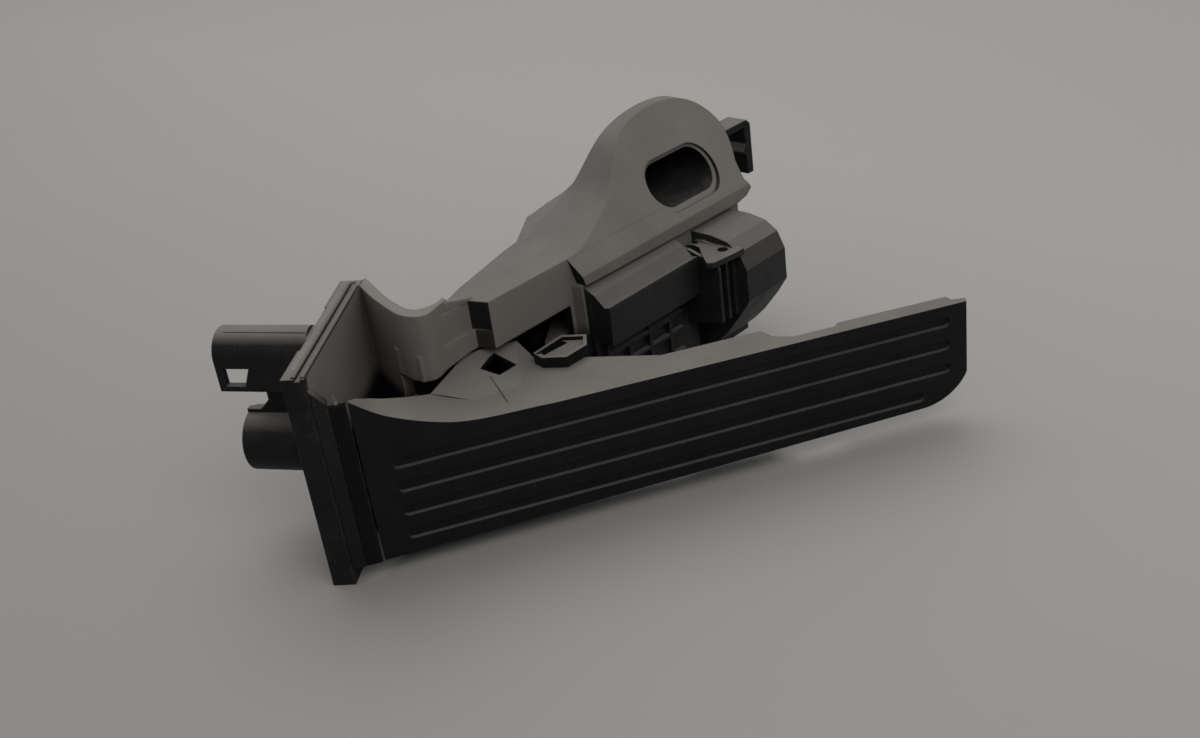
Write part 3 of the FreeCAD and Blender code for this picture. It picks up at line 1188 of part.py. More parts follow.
def make_cover_screws():
    """Screws that hold the side cover, heads down in its bosses."""
    screws = []
    for index, (across, along) in enumerate(screw_places):
        shank = doc.addObject("Part::Cylinder", "shank_%d" % index)
        bind(shank, "Radius", screw_radius)
        bind(shank, "Height", screw_length)
        head = doc.addObject("Part::Cylinder", "head_%d" % index)
        bind(head, "Radius", screw_head)
        bind(head, "Height", 2.0)
        bind(head, "Placement.Base.z", -2.0)
        screw = boolean("MultiFuse", "screw_%d" % index, [shank, head])
        bind(screw, "Placement.Base.x", across)
        bind(screw, "Placement.Base.y", along)
        screws.append(screw)
    group = doc.addObject("Part::Compound", "cover_screws")
    group.Links = screws
    stand(group, 0.0, 0.0, casing_floor - lid_thick - 1.0)
    return keep(group, "cover_screws")


make_pedal_pad()
make_coupling_pin()
make_hinge_strip()
make_housing()
make_bolt_sleeve()
make_lever()
make_lever_shaft()
make_bush("lever_bush_upper", hub_top - bush_length)
make_bush("lever_bush_lower", hub_low)
make_side_cover()
make_sensor_cover()
make_sensor_housing()
make_connector_pins()
make_sensor_board()
make_cover_seal()
make_sensor_target()
make_friction_shoe()
make_return_spring("return_spring_upper", arm_top + spring_wire + gap, 0.0)
make_return_spring("return_spring_lower", arm_low - spring_wire - gap - spring_pitch * spring_turns, 180.0)
make_shoe_spring()
make_buffer("rest_buffer", 108.6, bay_front + wall + seat_gap, rest_buffer_length)
make_buffer("stop_buffer", 102.0, 21.3, stop_buffer_length)
make_cover_screws()
doc.recompute()

for thing in doc.Objects:
    if "Invalid" in thing.State or "Error" in thing.State:
        failures.append("%s is %s" % (thing.Name, thing.State))
for name, piece in sub_parts.items():
    shape = piece.Shape
    if shape.isNull() or not shape.isValid() or not shape.Solids:
        failures.append("%s has no sound shape" % name)
if failures:
    raise RuntimeError("; ".join(failures))

os.makedirs("parts", exist_ok=True)
bounds = FreeCAD.BoundBox()
for name, piece in sub_parts.items():
    piece.Shape.exportStep("parts/%s.step" % name)
    bounds.add(piece.Shape.BoundBox)
    print(name, len(piece.Shape.Solids), "solids", round(piece.Shape.Volume / 1000, 2), "cm3")
corners = (bounds.XMin, bounds.YMin, bounds.ZMin, bounds.XMax, bounds.YMax, bounds.ZMax)
print("box", [round(value, 2) for value in corners])
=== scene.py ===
# %% [markdown]
# # Accelerator pedal module on a pale table
# The module lies on its side: a long grooved pad, a housing with a heel flange and pegs, an ear with a
# bolt well, and a sensor unit with its connector. The solids come from the CAD frame. This lesson gives
# them moulded plastic, rubber and metal finishes, adds the small moulded details, and lights the scene.

# %% Load the frame
import bpy
import bmesh
import math
from mathutils import Matrix, Vector


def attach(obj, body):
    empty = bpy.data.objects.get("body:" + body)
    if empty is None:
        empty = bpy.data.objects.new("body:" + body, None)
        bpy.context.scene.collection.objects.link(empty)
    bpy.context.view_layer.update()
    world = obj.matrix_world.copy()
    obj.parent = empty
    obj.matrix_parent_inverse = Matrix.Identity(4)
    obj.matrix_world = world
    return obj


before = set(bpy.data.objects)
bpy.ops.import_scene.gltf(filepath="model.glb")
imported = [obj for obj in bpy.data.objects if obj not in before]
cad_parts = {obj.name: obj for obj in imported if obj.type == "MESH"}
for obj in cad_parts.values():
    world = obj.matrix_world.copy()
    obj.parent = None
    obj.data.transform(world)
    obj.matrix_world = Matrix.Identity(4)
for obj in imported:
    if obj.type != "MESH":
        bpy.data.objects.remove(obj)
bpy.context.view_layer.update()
bpy.ops.object.select_all(action="DESELECT")
print("CAD nodes:", len(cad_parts))

# %% [markdown]
# The drawing of the module counts millimetres from the upper corner of the pad's hinge, while the frame
# counts metres from the middle of the footprint. One helper turns the first into the second, so that
# every place below can be compared with the drawing.

# %% Places of the drawing
middle_x = 100.5
middle_y = -22.5
hinge_height = 65.5
millimetre = 0.001


def place(x, y, z):
    """A place of the drawing in the frame's metres."""
    return Vector((x - middle_x, y - middle_y, z + hinge_height)) * millimetre


print("hinge corner at", tuple(round(value, 4) for value in place(0, 0, 0)))

# %% [markdown]
# The photograph looks down at the module from its pad side, with the camera rolled a little. The lens
# and the place of the camera were found from the straight edges of the pad and of the flange. A camera
# object looks along its own -Z with +Y up, so its axes are set from the viewing direction.

# %% Camera
view_turn = math.radians(47.0)
view_fall = math.radians(28.16)
view_roll = math.radians(8.235)
camera_place = place(-208.8, -338.7, 207.2)
sensor_width = 36.0
lens_length = 43.5
forward = Vector((math.cos(view_turn) * math.cos(view_fall), math.sin(view_turn) * math.cos(view_fall),
                  -math.sin(view_fall)))
level_right = Vector((math.sin(view_turn), -math.cos(view_turn), 0.0))
level_up = level_right.cross(forward)
right = level_right * math.cos(view_roll) - level_up * math.sin(view_roll)
up = level_up * math.cos(view_roll) + level_right * math.sin(view_roll)

camera_data = bpy.data.cameras.new("table_camera")
camera_data.sensor_width = sensor_width
camera_data.lens = lens_length
camera = bpy.data.objects.new("table_camera", camera_data)
bpy.context.scene.collection.objects.link(camera)
camera_axes = Matrix((right, up, -forward)).transposed().to_4x4()
camera.matrix_world = Matrix.Translation(camera_place) @ camera_axes
bpy.context.scene.camera = camera
print("camera at", tuple(round(value, 3) for value in camera.matrix_world.translation))

# %% [markdown]
# The table is one wide plane of a pale grey. It is stage, not part of the object. Its left end is a
# little deeper in tone than its right one, a painted shade where the room's light falls off, and a faint
# mottle keeps the shade from being quite even.

# %% Table
table_size = 6.0
# The two table colours paint a shade that deepens towards the left end of the table.
table_shaded_end = (0.196, 0.192, 0.186, 1.0)
table_lit_end = (0.318, 0.312, 0.303, 1.0)
shade_left = -0.38
shade_right = 0.30
mottle_share = 0.16
bpy.ops.mesh.primitive_plane_add(size=table_size, location=(0.0, 0.0, 0.0))
table = bpy.context.object
table.name = "table_top"
table_paint = bpy.data.materials.new("table_paint")
table_paint.use_nodes = True
nodes = table_paint.node_tree.nodes
links = table_paint.node_tree.links
shader = nodes["Principled BSDF"]
shader.inputs["Roughness"].default_value = 0.55
shader.inputs["Specular IOR Level"].default_value = 0.3
mottle = nodes.new("ShaderNodeTexNoise")
mottle.inputs["Scale"].default_value = 3.0
mottle.inputs["Detail"].default_value = 3.0
where = nodes.new("ShaderNodeTexCoord")
links.new(where.outputs["Object"], mottle.inputs["Vector"])
table_axes = nodes.new("ShaderNodeSeparateXYZ")
links.new(where.outputs["Object"], table_axes.inputs["Vector"])
along_table = nodes.new("ShaderNodeMapRange")
along_table.inputs["From Min"].default_value = shade_left
along_table.inputs["From Max"].default_value = shade_right
links.new(table_axes.outputs["X"], along_table.inputs["Value"])
clouded = nodes.new("ShaderNodeMath")
clouded.operation = "MULTIPLY_ADD"
clouded.inputs[1].default_value = mottle_share
links.new(mottle.outputs["Fac"], clouded.inputs[0])
links.new(along_table.outputs["Result"], clouded.inputs[2])
tint = nodes.new("ShaderNodeMix")
tint.data_type = "RGBA"
tint.inputs["A"].default_value = table_shaded_end
tint.inputs["B"].default_value = table_lit_end
links.new(clouded.outputs["Value"], tint.inputs["Factor"])
links.new(tint.outputs["Result"], shader.inputs["Base Color"])
table.data.materials.append(table_paint)
print("table colours", [[round(value, 3) for value in tint.inputs[end].default_value[:3]] for end in "AB"])

# %% [markdown]
# The light is that of a bright room under a wide pale ceiling. Each face gets light after the share of
# the ceiling that it sees: the tops of the walls are the brightest, the leaning face of the ear comes
# next, and the upright faces towards the camera mirror the table and stay dark. The room is
# brightest above and towards its far side, and one wide lamp over the far side shades the table softly.
# A second lamp over the near side, a little to the left, reaches the ear and the pocket at the heel.

# %% World and lamps
far_and_up = (0.35, 0.30, 0.60)
dim_end = 0.18
bright_end = 0.66
room_colour = (1.0, 0.99, 0.985, 1.0)
lamp_aim = Vector((0.0, 0.0, 0.04))

world = bpy.data.worlds.new("studio")
bpy.context.scene.world = world
world.use_nodes = True
nodes = world.node_tree.nodes
links = world.node_tree.links
background = nodes["Background"]
direction = nodes.new("ShaderNodeTexCoord")
towards_far = nodes.new("ShaderNodeVectorMath")
towards_far.operation = "DOT_PRODUCT"
towards_far.inputs[1].default_value = far_and_up
links.new(direction.outputs["Generated"], towards_far.inputs[0])
brightness = nodes.new("ShaderNodeMapRange")
brightness.inputs["From Min"].default_value = -0.4
brightness.inputs["From Max"].default_value = 0.6
brightness.inputs["To Min"].default_value = dim_end
brightness.inputs["To Max"].default_value = bright_end
links.new(towards_far.outputs["Value"], brightness.inputs["Value"])
links.new(brightness.outputs["Result"], background.inputs["Strength"])
background.inputs["Color"].default_value = room_colour


def hang_lamp(name, location, size, power):
    """One rectangular soft lamp, turned to the middle of the module."""
    data = bpy.data.lights.new(name, "AREA")
    data.shape = "RECTANGLE"
    data.size = size[0]
    data.size_y = size[1]
    data.energy = power
    lamp = bpy.data.objects.new(name, data)
    bpy.context.scene.collection.objects.link(lamp)
    lamp.location = location
    aim = lamp_aim - lamp.location
    lamp.rotation_euler = aim.to_track_quat("-Z", "Y").to_euler()


hang_lamp("far_softbox", Vector((0.30, 0.55, 1.20)), (1.2, 1.0), 6.5)
hang_lamp("near_softbox", Vector((-0.34, -0.82, 1.05)), (0.9, 0.8), 6.0)
print("lamps hung")

# %% [markdown]
# The finishes are made of small node trees. A few helpers keep them short: one starts a node group, one
# adds a math node, one multiplies several masks, one maps a value onto a range, and one adds noise.


# %% Node group tools
def start_group(name, inputs, outputs):
    """A shader node group with named number inputs and named outputs."""
    group = bpy.data.node_groups.new(name, "ShaderNodeTree")
    for label, value in inputs:
        socket = group.interface.new_socket(label, in_out="INPUT", socket_type="NodeSocketFloat")
        socket.default_value = value
    for label, kind in outputs:
        group.interface.new_socket(label, in_out="OUTPUT", socket_type=kind)
    return group, group.nodes.new("NodeGroupInput"), group.nodes.new("NodeGroupOutput")


def calculate(tree, operation, first, second=0.0, third=None, clamp=False):
    """A math node, whose inputs are numbers or outputs of other nodes."""
    node = tree.nodes.new("ShaderNodeMath")
    node.operation = operation
    node.use_clamp = clamp
    for index, value in enumerate((first, second, third)):
        if value is None:
            continue
        if isinstance(value, (int, float)):
            node.inputs[index].default_value = value
            continue
        tree.links.new(value, node.inputs[index])
    return node.outputs[0]


def multiply(tree, *masks):
    """The product of several masks."""
    product = masks[0]
    for mask in masks[1:]:
        product = calculate(tree, "MULTIPLY", product, mask)
    return product


def spread(tree, value, low, high, bottom=0.0, top=1.0):
    """Maps a value between two limits onto another range, and stops at its ends."""
    node = tree.nodes.new("ShaderNodeMapRange")
    node.inputs["From Min"].default_value = low
    node.inputs["From Max"].default_value = high
    node.inputs["To Min"].default_value = bottom
    node.inputs["To Max"].default_value = top
    tree.links.new(value, node.inputs["Value"])
    return node.outputs["Result"]


def noise(tree, scale, detail=2.0, roughness=0.5):
    """Noise on the object's own coordinates; the scale is a number or an output."""
    node = tree.nodes.new("ShaderNodeTexNoise")
    node.inputs["Detail"].default_value = detail
    node.inputs["Roughness"].default_value = roughness
    coordinates = tree.nodes.new("ShaderNodeTexCoord")
    tree.links.new(coordinates.outputs["Object"], node.inputs["Vector"])
    if isinstance(scale, (int, float)):
        node.inputs["Scale"].default_value = scale
    else:
        tree.links.new(scale, node.inputs["Scale"])
    return node.outputs["Fac"]


# %% [markdown]
# Moulded plastic has a fine grain that a spark-eroded mould leaves. Noise at two sizes makes its height.
# It is a node group, so that every plastic of the module shares it.

# %% Grain group
coarse_ratio = 0.23
coarse_share = 0.8
grain, into, out = start_group("mould_grain", [("Scale", 1500.0)], [("Height", "NodeSocketFloat")])
fine = noise(grain, into.outputs["Scale"], 2.0)
coarse_scale = calculate(grain, "MULTIPLY", into.outputs["Scale"], coarse_ratio)
coarse = noise(grain, coarse_scale, 3.0)
both = calculate(grain, "MULTIPLY_ADD", coarse, coarse_share, fine)
grain.links.new(both, out.inputs["Height"])
print("group", grain.name)

# %% [markdown]
# Dust settles on faces that look up, and dry specks and smears stay on old plastic. The group makes a
# mask from fine specks and broad patches, and weakens it on faces that look sideways or down.

# %% Dust group
dust, into, out = start_group("settled_dust", [("Amount", 0.5), ("Speck Scale", 900.0)],
                              [("Mask", "NodeSocketFloat")])
surface = dust.nodes.new("ShaderNodeNewGeometry")
split = dust.nodes.new("ShaderNodeSeparateXYZ")
dust.links.new(surface.outputs["Normal"], split.inputs["Vector"])
speck_share = 0.8
smear_share = 0.35
patch_share = 0.8
looks_up = spread(dust, split.outputs["Z"], -0.1, 0.9, 0.25, 1.0)
specks = spread(dust, noise(dust, into.outputs["Speck Scale"], 1.0), 0.66, 0.78)
patches = spread(dust, noise(dust, 38.0, 4.0, 0.6), 0.42, 0.72)
smears = spread(dust, noise(dust, 170.0, 3.0, 0.7), 0.45, 0.8)
smear = calculate(dust, "MULTIPLY", smears, smear_share)
together = calculate(dust, "ADD", calculate(dust, "MULTIPLY", specks, speck_share), smear)
patchy = calculate(dust, "MULTIPLY_ADD", patches, patch_share, 1.0 - patch_share)
raised = multiply(dust, together, patchy, looks_up)
dust.links.new(calculate(dust, "MULTIPLY", raised, into.outputs["Amount"], clamp=True), out.inputs["Mask"])
print("group", dust.name)

# %% [markdown]
# Real mouldings have small edge radii that catch the light, and hands rub those edges smooth and pale.
# The Bevel node gives a rounded normal near each edge without changing the mesh, and where that normal
# leaves the face's own normal, there is an edge: the difference is the mask for a paler edge colour, which
# is partly rubbed wear and partly a painted highlight along the edges.

# %% Rubbed edge and painted highlight group
wear_and_highlight_group, into, out = start_group("worn_and_highlit_edges", [("Radius", 0.0006)],
                                [("Mask", "NodeSocketFloat"), ("Normal", "NodeSocketVector")])
bevel_samples = 6
face_match = 0.995
edge_match = 0.86
rounded = wear_and_highlight_group.nodes.new("ShaderNodeBevel")
rounded.samples = bevel_samples
wear_and_highlight_group.links.new(into.outputs["Radius"], rounded.inputs["Radius"])
flat = wear_and_highlight_group.nodes.new("ShaderNodeNewGeometry")
match = wear_and_highlight_group.nodes.new("ShaderNodeVectorMath")
match.operation = "DOT_PRODUCT"
wear_and_highlight_group.links.new(rounded.outputs["Normal"], match.inputs[0])
wear_and_highlight_group.links.new(flat.outputs["Normal"], match.inputs[1])
# This edge mask carries the paler colour: partly rubbed wear, partly a painted highlight on the edges.
edge = spread(wear_and_highlight_group, match.outputs["Value"], face_match, edge_match)
broken = spread(wear_and_highlight_group, noise(wear_and_highlight_group, 260.0, 3.0, 0.65), 0.32, 0.62)
wear_and_highlight_group.links.new(calculate(wear_and_highlight_group, "MULTIPLY", edge, broken), out.inputs["Mask"])
wear_and_highlight_group.links.new(rounded.outputs["Normal"], out.inputs["Normal"])
print("group", wear_and_highlight_group.name)

# %% [markdown]
# A thin even grey film lies on everything that looks up, and sheltered upright walls keep it too: the
# pocket between the heel flange and the casing, the flank and the ear. The film is partly dust and partly
# painted light: a painted sheen on the tops and painted light on the sheltered walls. The group takes the
# planes that bound this shelter from the drawing, and blurs them with a little noise. Beyond the pocket only
# walls that face the near side keep the film, and the inside of the bolt well stays black, a painted shade.
# On the pegs behind the flange only the very tops get the film.

# %% Dust and painted light film group
film, into, out = start_group("dust_and_painted_light_film", [("Amount", 1.0), ("Shelter", 0.0)],
                              [("Mask", "NodeSocketFloat")])
surface = film.nodes.new("ShaderNodeNewGeometry")
split = film.nodes.new("ShaderNodeSeparateXYZ")
film.links.new(surface.outputs["Normal"], split.inputs["Vector"])
coordinates = film.nodes.new("ShaderNodeTexCoord")
axes = film.nodes.new("ShaderNodeSeparateXYZ")
film.links.new(coordinates.outputs["Object"], axes.inputs["Vector"])
along_x = axes.outputs["X"]
along_y = axes.outputs["Y"]
along_z = axes.outputs["Z"]

# Faces that look up, only the very tops, and faces towards the near side; the film on them is partly painted
# light
slope_limits = (0.22, 0.85)
slope_film = 0.78
top_limits = (0.62, 0.98)
top_film = 0.85
near_limits = (-0.35, -0.70)
upward = spread(film, split.outputs["Z"], *slope_limits, 0.0, slope_film)
only_tops = spread(film, split.outputs["Z"], *top_limits, 0.0, top_film)
faces_near = spread(film, split.outputs["Y"], *near_limits)

# Planes that bound the shelter
heel_edge = place(-7.6, 0.0, 0.0).x
ear_end = place(198.0, 0.0, 0.0).x
pocket_end = place(56.0, 0.0, 0.0).x
shelf_height = place(0.0, 0.0, -24.0).z
shelf_blur = 0.006
side_blur = 0.002
sharp_blur = 0.001
ragged_scale = 300.0
ragged_width = 0.0025
ragged = calculate(film, "MULTIPLY", noise(film, ragged_scale, 3.0), ragged_width)
ragged_x = calculate(film, "ADD", along_x, ragged)
right_of_heel = spread(film, ragged_x, heel_edge, heel_edge + side_blur)
left_of_clip = spread(film, along_x, ear_end + side_blur, ear_end)
above_pad = spread(film, along_z, shelf_height, shelf_height + shelf_blur)
in_pocket = spread(film, along_x, pocket_end + sharp_blur, pocket_end)

# The flange's outer face, which ends the shelter
flange_turn = math.radians(36.8)
across_x = -math.sin(flange_turn)
across_y = math.cos(flange_turn)
skin_start = 0.0002
skin_end = 0.0012
outer_face = place(-14.0, 10.5, 0.0)
outer_offset = across_x * outer_face.x + across_y * outer_face.y
across_flange = calculate(film, "ADD", calculate(film, "MULTIPLY", along_x, across_x),
                          calculate(film, "MULTIPLY", along_y, across_y))
inside_flange = spread(film, across_flange, outer_offset - skin_start, outer_offset - skin_end)
shelter = multiply(film, right_of_heel, left_of_clip, inside_flange, above_pad)
keeps_film = calculate(film, "MAXIMUM", faces_near, in_pocket)
sheltered = multiply(film, shelter, keeps_film, into.outputs["Shelter"])

# The inside of the bolt well, which gets no film and stays black: a painted shade in the hollow
well_low = place(147.0, 0.0, 2.0)
well_high = place(185.0, 34.5, 20.6)
well_clean = 0.92
well_sides = [
    (along_x, well_low.x, well_low.x + sharp_blur),
    (along_x, well_high.x, well_high.x - sharp_blur),
    (along_z, well_low.z, well_low.z + sharp_blur),
    (along_z, well_high.z, well_high.z - sharp_blur),
    (split.outputs["Y"], -0.40, -0.20),
    (along_y, well_high.y, well_high.y - sharp_blur),
]
well_share = multiply(film, *[spread(film, *side) for side in well_sides])
outside_well = calculate(film, "MULTIPLY_ADD", well_share, -well_clean, 1.0)

# Beyond the flange only the very tops keep the film
beyond_flange = calculate(film, "SUBTRACT", 1.0, inside_flange)
tops_instead = calculate(film, "SUBTRACT", only_tops, upward)
on_top = calculate(film, "MULTIPLY_ADD", tops_instead, beyond_flange, upward)
either = calculate(film, "MAXIMUM", on_top, sheltered)
cloudy = spread(film, noise(film, 45.0, 4.0, 0.6), 0.25, 0.75, 0.80, 1.0)
film_mask = multiply(film, either, outside_well, cloudy, into.outputs["Amount"])
film.links.new(film_mask, out.inputs["Mask"])
print("group", film.name)


# %% [markdown]
# One recipe serves all the plastics and the rubber: a dark colour that varies a little, a pale film that is
# partly dust and partly painted light, dust specks, a paler edge that is partly rubbed wear and partly a
# painted highlight, and the grain as a bump over the rounded normal. Each finish has its own numbers.

# %% Plastic recipe
# The paler edge colour is partly rubbed wear and partly a painted highlight along the edges.
wear_and_highlight_colour = (0.085, 0.083, 0.080)
# The film colour is partly dust and partly painted light on the tops and the sheltered walls.
dust_and_light_colour = (0.162, 0.150, 0.136)
speck_colour = (0.245, 0.230, 0.208)
grain_scale = 1500.0
grain_depth = 0.00004
grain_strength = 0.6
tone_lift = 1.35
tone_floor = 0.001
dusty_roughness = 0.3


def use_group(tree, group, **values):
    """A node that uses a group, with some of its inputs set; _ stands for a space."""
    node = tree.nodes.new("ShaderNodeGroup")
    node.node_tree = group
    for label, value in values.items():
        node.inputs[label.replace("_", " ")].default_value = value
    return node


def blend_colour(tree, factor, first, second):
    """Mixes two colours, each a tuple or an output."""
    node = tree.nodes.new("ShaderNodeMix")
    node.data_type = "RGBA"
    tree.links.new(factor, node.inputs["Factor"])
    for label, value in (("A", first), ("B", second)):
        if isinstance(value, tuple):
            node.inputs[label].default_value = (*value, 1.0)
        else:
            tree.links.new(value, node.inputs[label])
    return node.outputs["Result"]


def moulded(name, colour, roughness, dust_amount=0.5, edge_wear_and_highlight=0.5, edge_radius=0.0004,
            sheen=0.28, film_amount=0.9, shelter=0.0):
    """A matte moulded material."""
    material = bpy.data.materials.new(name)
    material.use_nodes = True
    tree = material.node_tree
    shader = tree.nodes["Principled BSDF"]
    shader.inputs["Specular IOR Level"].default_value = sheen
    drift = spread(tree, noise(tree, 55.0, 3.0), 0.3, 0.7)
    lighter = tuple(value * tone_lift + tone_floor for value in colour)
    body = blend_colour(tree, drift, colour, lighter)
    # Paler edges: partly rubbed wear and partly a painted highlight.
    edges = use_group(tree, wear_and_highlight_group, Radius=edge_radius)
    edge_share = calculate(tree, "MULTIPLY", edges.outputs["Mask"], edge_wear_and_highlight)
    worn_and_highlit = blend_colour(tree, edge_share, body, wear_and_highlight_colour)
    # The pale film: partly dust and partly painted light on the tops and the sheltered walls.
    veil = use_group(tree, film, Amount=film_amount, Shelter=shelter)
    veiled = blend_colour(tree, veil.outputs["Mask"], worn_and_highlit, dust_and_light_colour)
    settled = use_group(tree, dust, Amount=dust_amount)
    specked = blend_colour(tree, settled.outputs["Mask"], veiled, speck_colour)
    tree.links.new(specked, shader.inputs["Base Color"])
    uneven = spread(tree, noise(tree, 120.0, 3.0), 0.3, 0.7, roughness - 0.05, roughness + 0.06)
    dulled = calculate(tree, "MULTIPLY_ADD", settled.outputs["Mask"], dusty_roughness, uneven, clamp=True)
    tree.links.new(dulled, shader.inputs["Roughness"])
    texture = use_group(tree, grain, Scale=grain_scale)
    bump = tree.nodes.new("ShaderNodeBump")
    bump.inputs["Strength"].default_value = grain_strength
    bump.inputs["Distance"].default_value = grain_depth
    tree.links.new(texture.outputs["Height"], bump.inputs["Height"])
    tree.links.new(edges.outputs["Normal"], bump.inputs["Normal"])
    tree.links.new(bump.outputs["Normal"], shader.inputs["Normal"])
    return material


pad_plastic = moulded("pad_plastic", (0.0040, 0.0041, 0.0043), 0.50, dust_amount=0.18, edge_wear_and_highlight=0.25,
                      edge_radius=0.0003, sheen=0.17, film_amount=1.12)
housing_plastic = moulded("housing_plastic", (0.0055, 0.0056, 0.0058), 0.52, dust_amount=0.60,
                          edge_wear_and_highlight=0.40, edge_radius=0.0009, sheen=0.18, shelter=1.0,
                          film_amount=1.0)
flange_plastic = moulded("flange_plastic", (0.0055, 0.0056, 0.0058), 0.52, dust_amount=0.50,
                         edge_wear_and_highlight=0.40, sheen=0.20)
# The cover and sensor plastics are painted lighter than the housing's plastic: painted light on their dark
# faces towards the camera.
cover_plastic = moulded("cover_plastic", (0.0120, 0.0120, 0.0122), 0.45, dust_amount=0.25,
                        edge_radius=0.0005, film_amount=0.75)
lightened_sensor_plastic = moulded("lightened_sensor_plastic", (0.0120, 0.0120, 0.0122), 0.50, dust_amount=0.40,
                         edge_radius=0.0005, film_amount=0.80)
groove_plastic = moulded("groove_plastic", (0.0060, 0.0061, 0.0063), 0.46, dust_amount=0.15,
                         film_amount=0.30)
flash_plastic = moulded("flash_plastic", (0.150, 0.146, 0.138), 0.50, dust_amount=0.30)
seam_plastic = moulded("seam_plastic", (0.0035, 0.0035, 0.0036), 0.60, dust_amount=0.10, film_amount=0.15)
scuff_plastic = moulded("scuff_plastic", (0.240, 0.235, 0.225), 0.55, dust_amount=0.20, film_amount=0.2)
lever_plastic = moulded("lever_plastic", (0.0080, 0.0080, 0.0082), 0.45, dust_amount=0.15)
hinge_elastomer = moulded("hinge_elastomer", (0.0030, 0.0030, 0.0031), 0.70, dust_amount=0.1, sheen=0.15,
                          film_amount=0.3)
buffer_rubber = moulded("buffer_rubber", (0.010, 0.010, 0.010), 0.75, dust_amount=0.1, film_amount=0.3)
bush_plastic = moulded("bush_plastic", (0.62, 0.60, 0.54), 0.4, dust_amount=0.05, edge_wear_and_highlight=0.1,
                       film_amount=0.1)
shoe_plastic = moulded("shoe_plastic", (0.30, 0.19, 0.09), 0.5, dust_amount=0.1, edge_wear_and_highlight=0.1,
                       film_amount=0.1)
seal_silicone = moulded("seal_silicone", (0.30, 0.09, 0.05), 0.45, dust_amount=0.05, edge_wear_and_highlight=0.1,
                        film_amount=0.1)
board_lacquer = moulded("board_lacquer", (0.02, 0.13, 0.045), 0.28, dust_amount=0.05, edge_wear_and_highlight=0.4,
                        film_amount=0.1)
print("plastics made")


# %% [markdown]
# The metal pieces are small: a plated sleeve in the bolt well, shaft, pins, screws, springs. Plated steel
# has a slightly cloudy shine, so its colour follows a broad noise and its roughness a fine one.

# %% Metal recipe
scratch_scale = 900.0
cloud_shade = 0.72


def plated(name, colour, roughness):
    """A bare or plated metal with clouded roughness."""
    material = bpy.data.materials.new(name)
    material.use_nodes = True
    tree = material.node_tree
    shader = tree.nodes["Principled BSDF"]
    shader.inputs["Metallic"].default_value = 1.0
    clouds = spread(tree, noise(tree, 140.0, 4.0), 0.3, 0.7)
    darker = tuple(value * cloud_shade for value in colour)
    tree.links.new(blend_colour(tree, clouds, colour, darker), shader.inputs["Base Color"])
    scratches = noise(tree, scratch_scale, 2.0)
    uneven = spread(tree, scratches, 0.3, 0.7, roughness - 0.08, roughness + 0.12)
    tree.links.new(uneven, shader.inputs["Roughness"])
    edges = use_group(tree, wear_and_highlight_group, Radius=0.0003)
    tree.links.new(edges.outputs["Normal"], shader.inputs["Normal"])
    return material


steel = plated("plated_steel", (0.56, 0.56, 0.54), 0.34)
spring_steel = plated("spring_steel", (0.36, 0.35, 0.33), 0.36)
contact_metal = plated("contact_metal", (0.72, 0.62, 0.38), 0.25)
target_metal = plated("target_metal", (0.70, 0.71, 0.72), 0.3)

# %% [markdown]
# Each node of the frame gets its finish by name. The print below names any node that was forgotten.

# %% Finishes of the CAD nodes
finishes = {
    "pedal_pad": pad_plastic, "coupling_pin": steel, "hinge_strip": hinge_elastomer,
    "housing": housing_plastic, "bolt_sleeve": steel, "lever": lever_plastic, "lever_shaft": steel,
    "lever_bush_upper": bush_plastic, "lever_bush_lower": bush_plastic, "side_cover": cover_plastic,
    "sensor_cover": cover_plastic, "sensor_housing": lightened_sensor_plastic, "connector_pins": contact_metal,
    "sensor_board": board_lacquer, "cover_seal": seal_silicone, "sensor_target": target_metal,
    "friction_shoe": shoe_plastic, "return_spring_upper": spring_steel, "return_spring_lower": spring_steel,
    "shoe_spring": spring_steel, "rest_buffer": buffer_rubber, "stop_buffer": buffer_rubber,
    "cover_screws": steel,
}
for node_name, finish in finishes.items():
    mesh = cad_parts[node_name].data
    mesh.materials.clear()
    mesh.materials.append(finish)
missing = sorted(set(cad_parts) - set(finishes))
print("finished nodes:", len(finishes), "without finish:", missing)

# %% [markdown]
# The small moulded details come next. Each of them starts as a primitive and is shaped in edit mode. A few
# helpers keep that short: one clears the selection before a new piece is made, one edits the vertices that
# a test picks out, and one gives the finished piece its name, its finish and the body that it rides on.


# %% Modelling helpers
sharp_angle = math.radians(40)


def begin():
    """Nothing is selected before the next primitive is added."""
    if bpy.context.object and bpy.context.object.mode == "EDIT":
        bpy.ops.object.mode_set(mode="OBJECT")
    bpy.ops.object.select_all(action="DESELECT")


def settle():
    """Puts the active object's place, turn and size into its mesh."""
    bpy.ops.object.transform_apply(location=True, rotation=True, scale=True)
    return bpy.context.object


def pick_vertices(piece, test):
    """Enters edit mode with only the vertices selected whose place passes the test."""
    bpy.ops.object.mode_set(mode="EDIT")
    bpy.ops.mesh.select_mode(type="VERT")
    bpy.ops.mesh.select_all(action="DESELECT")
    shell = bmesh.from_edit_mesh(piece.data)
    for vertex in shell.verts:
        vertex.select_set(bool(test(vertex.co)))
    shell.select_flush_mode()
    bmesh.update_edit_mesh(piece.data)


def shift_picked(piece, test, offset):
    """Moves the vertices whose place passes the test."""
    pick_vertices(piece, test)
    bpy.ops.transform.translate(value=offset)
    bpy.ops.object.mode_set(mode="OBJECT")


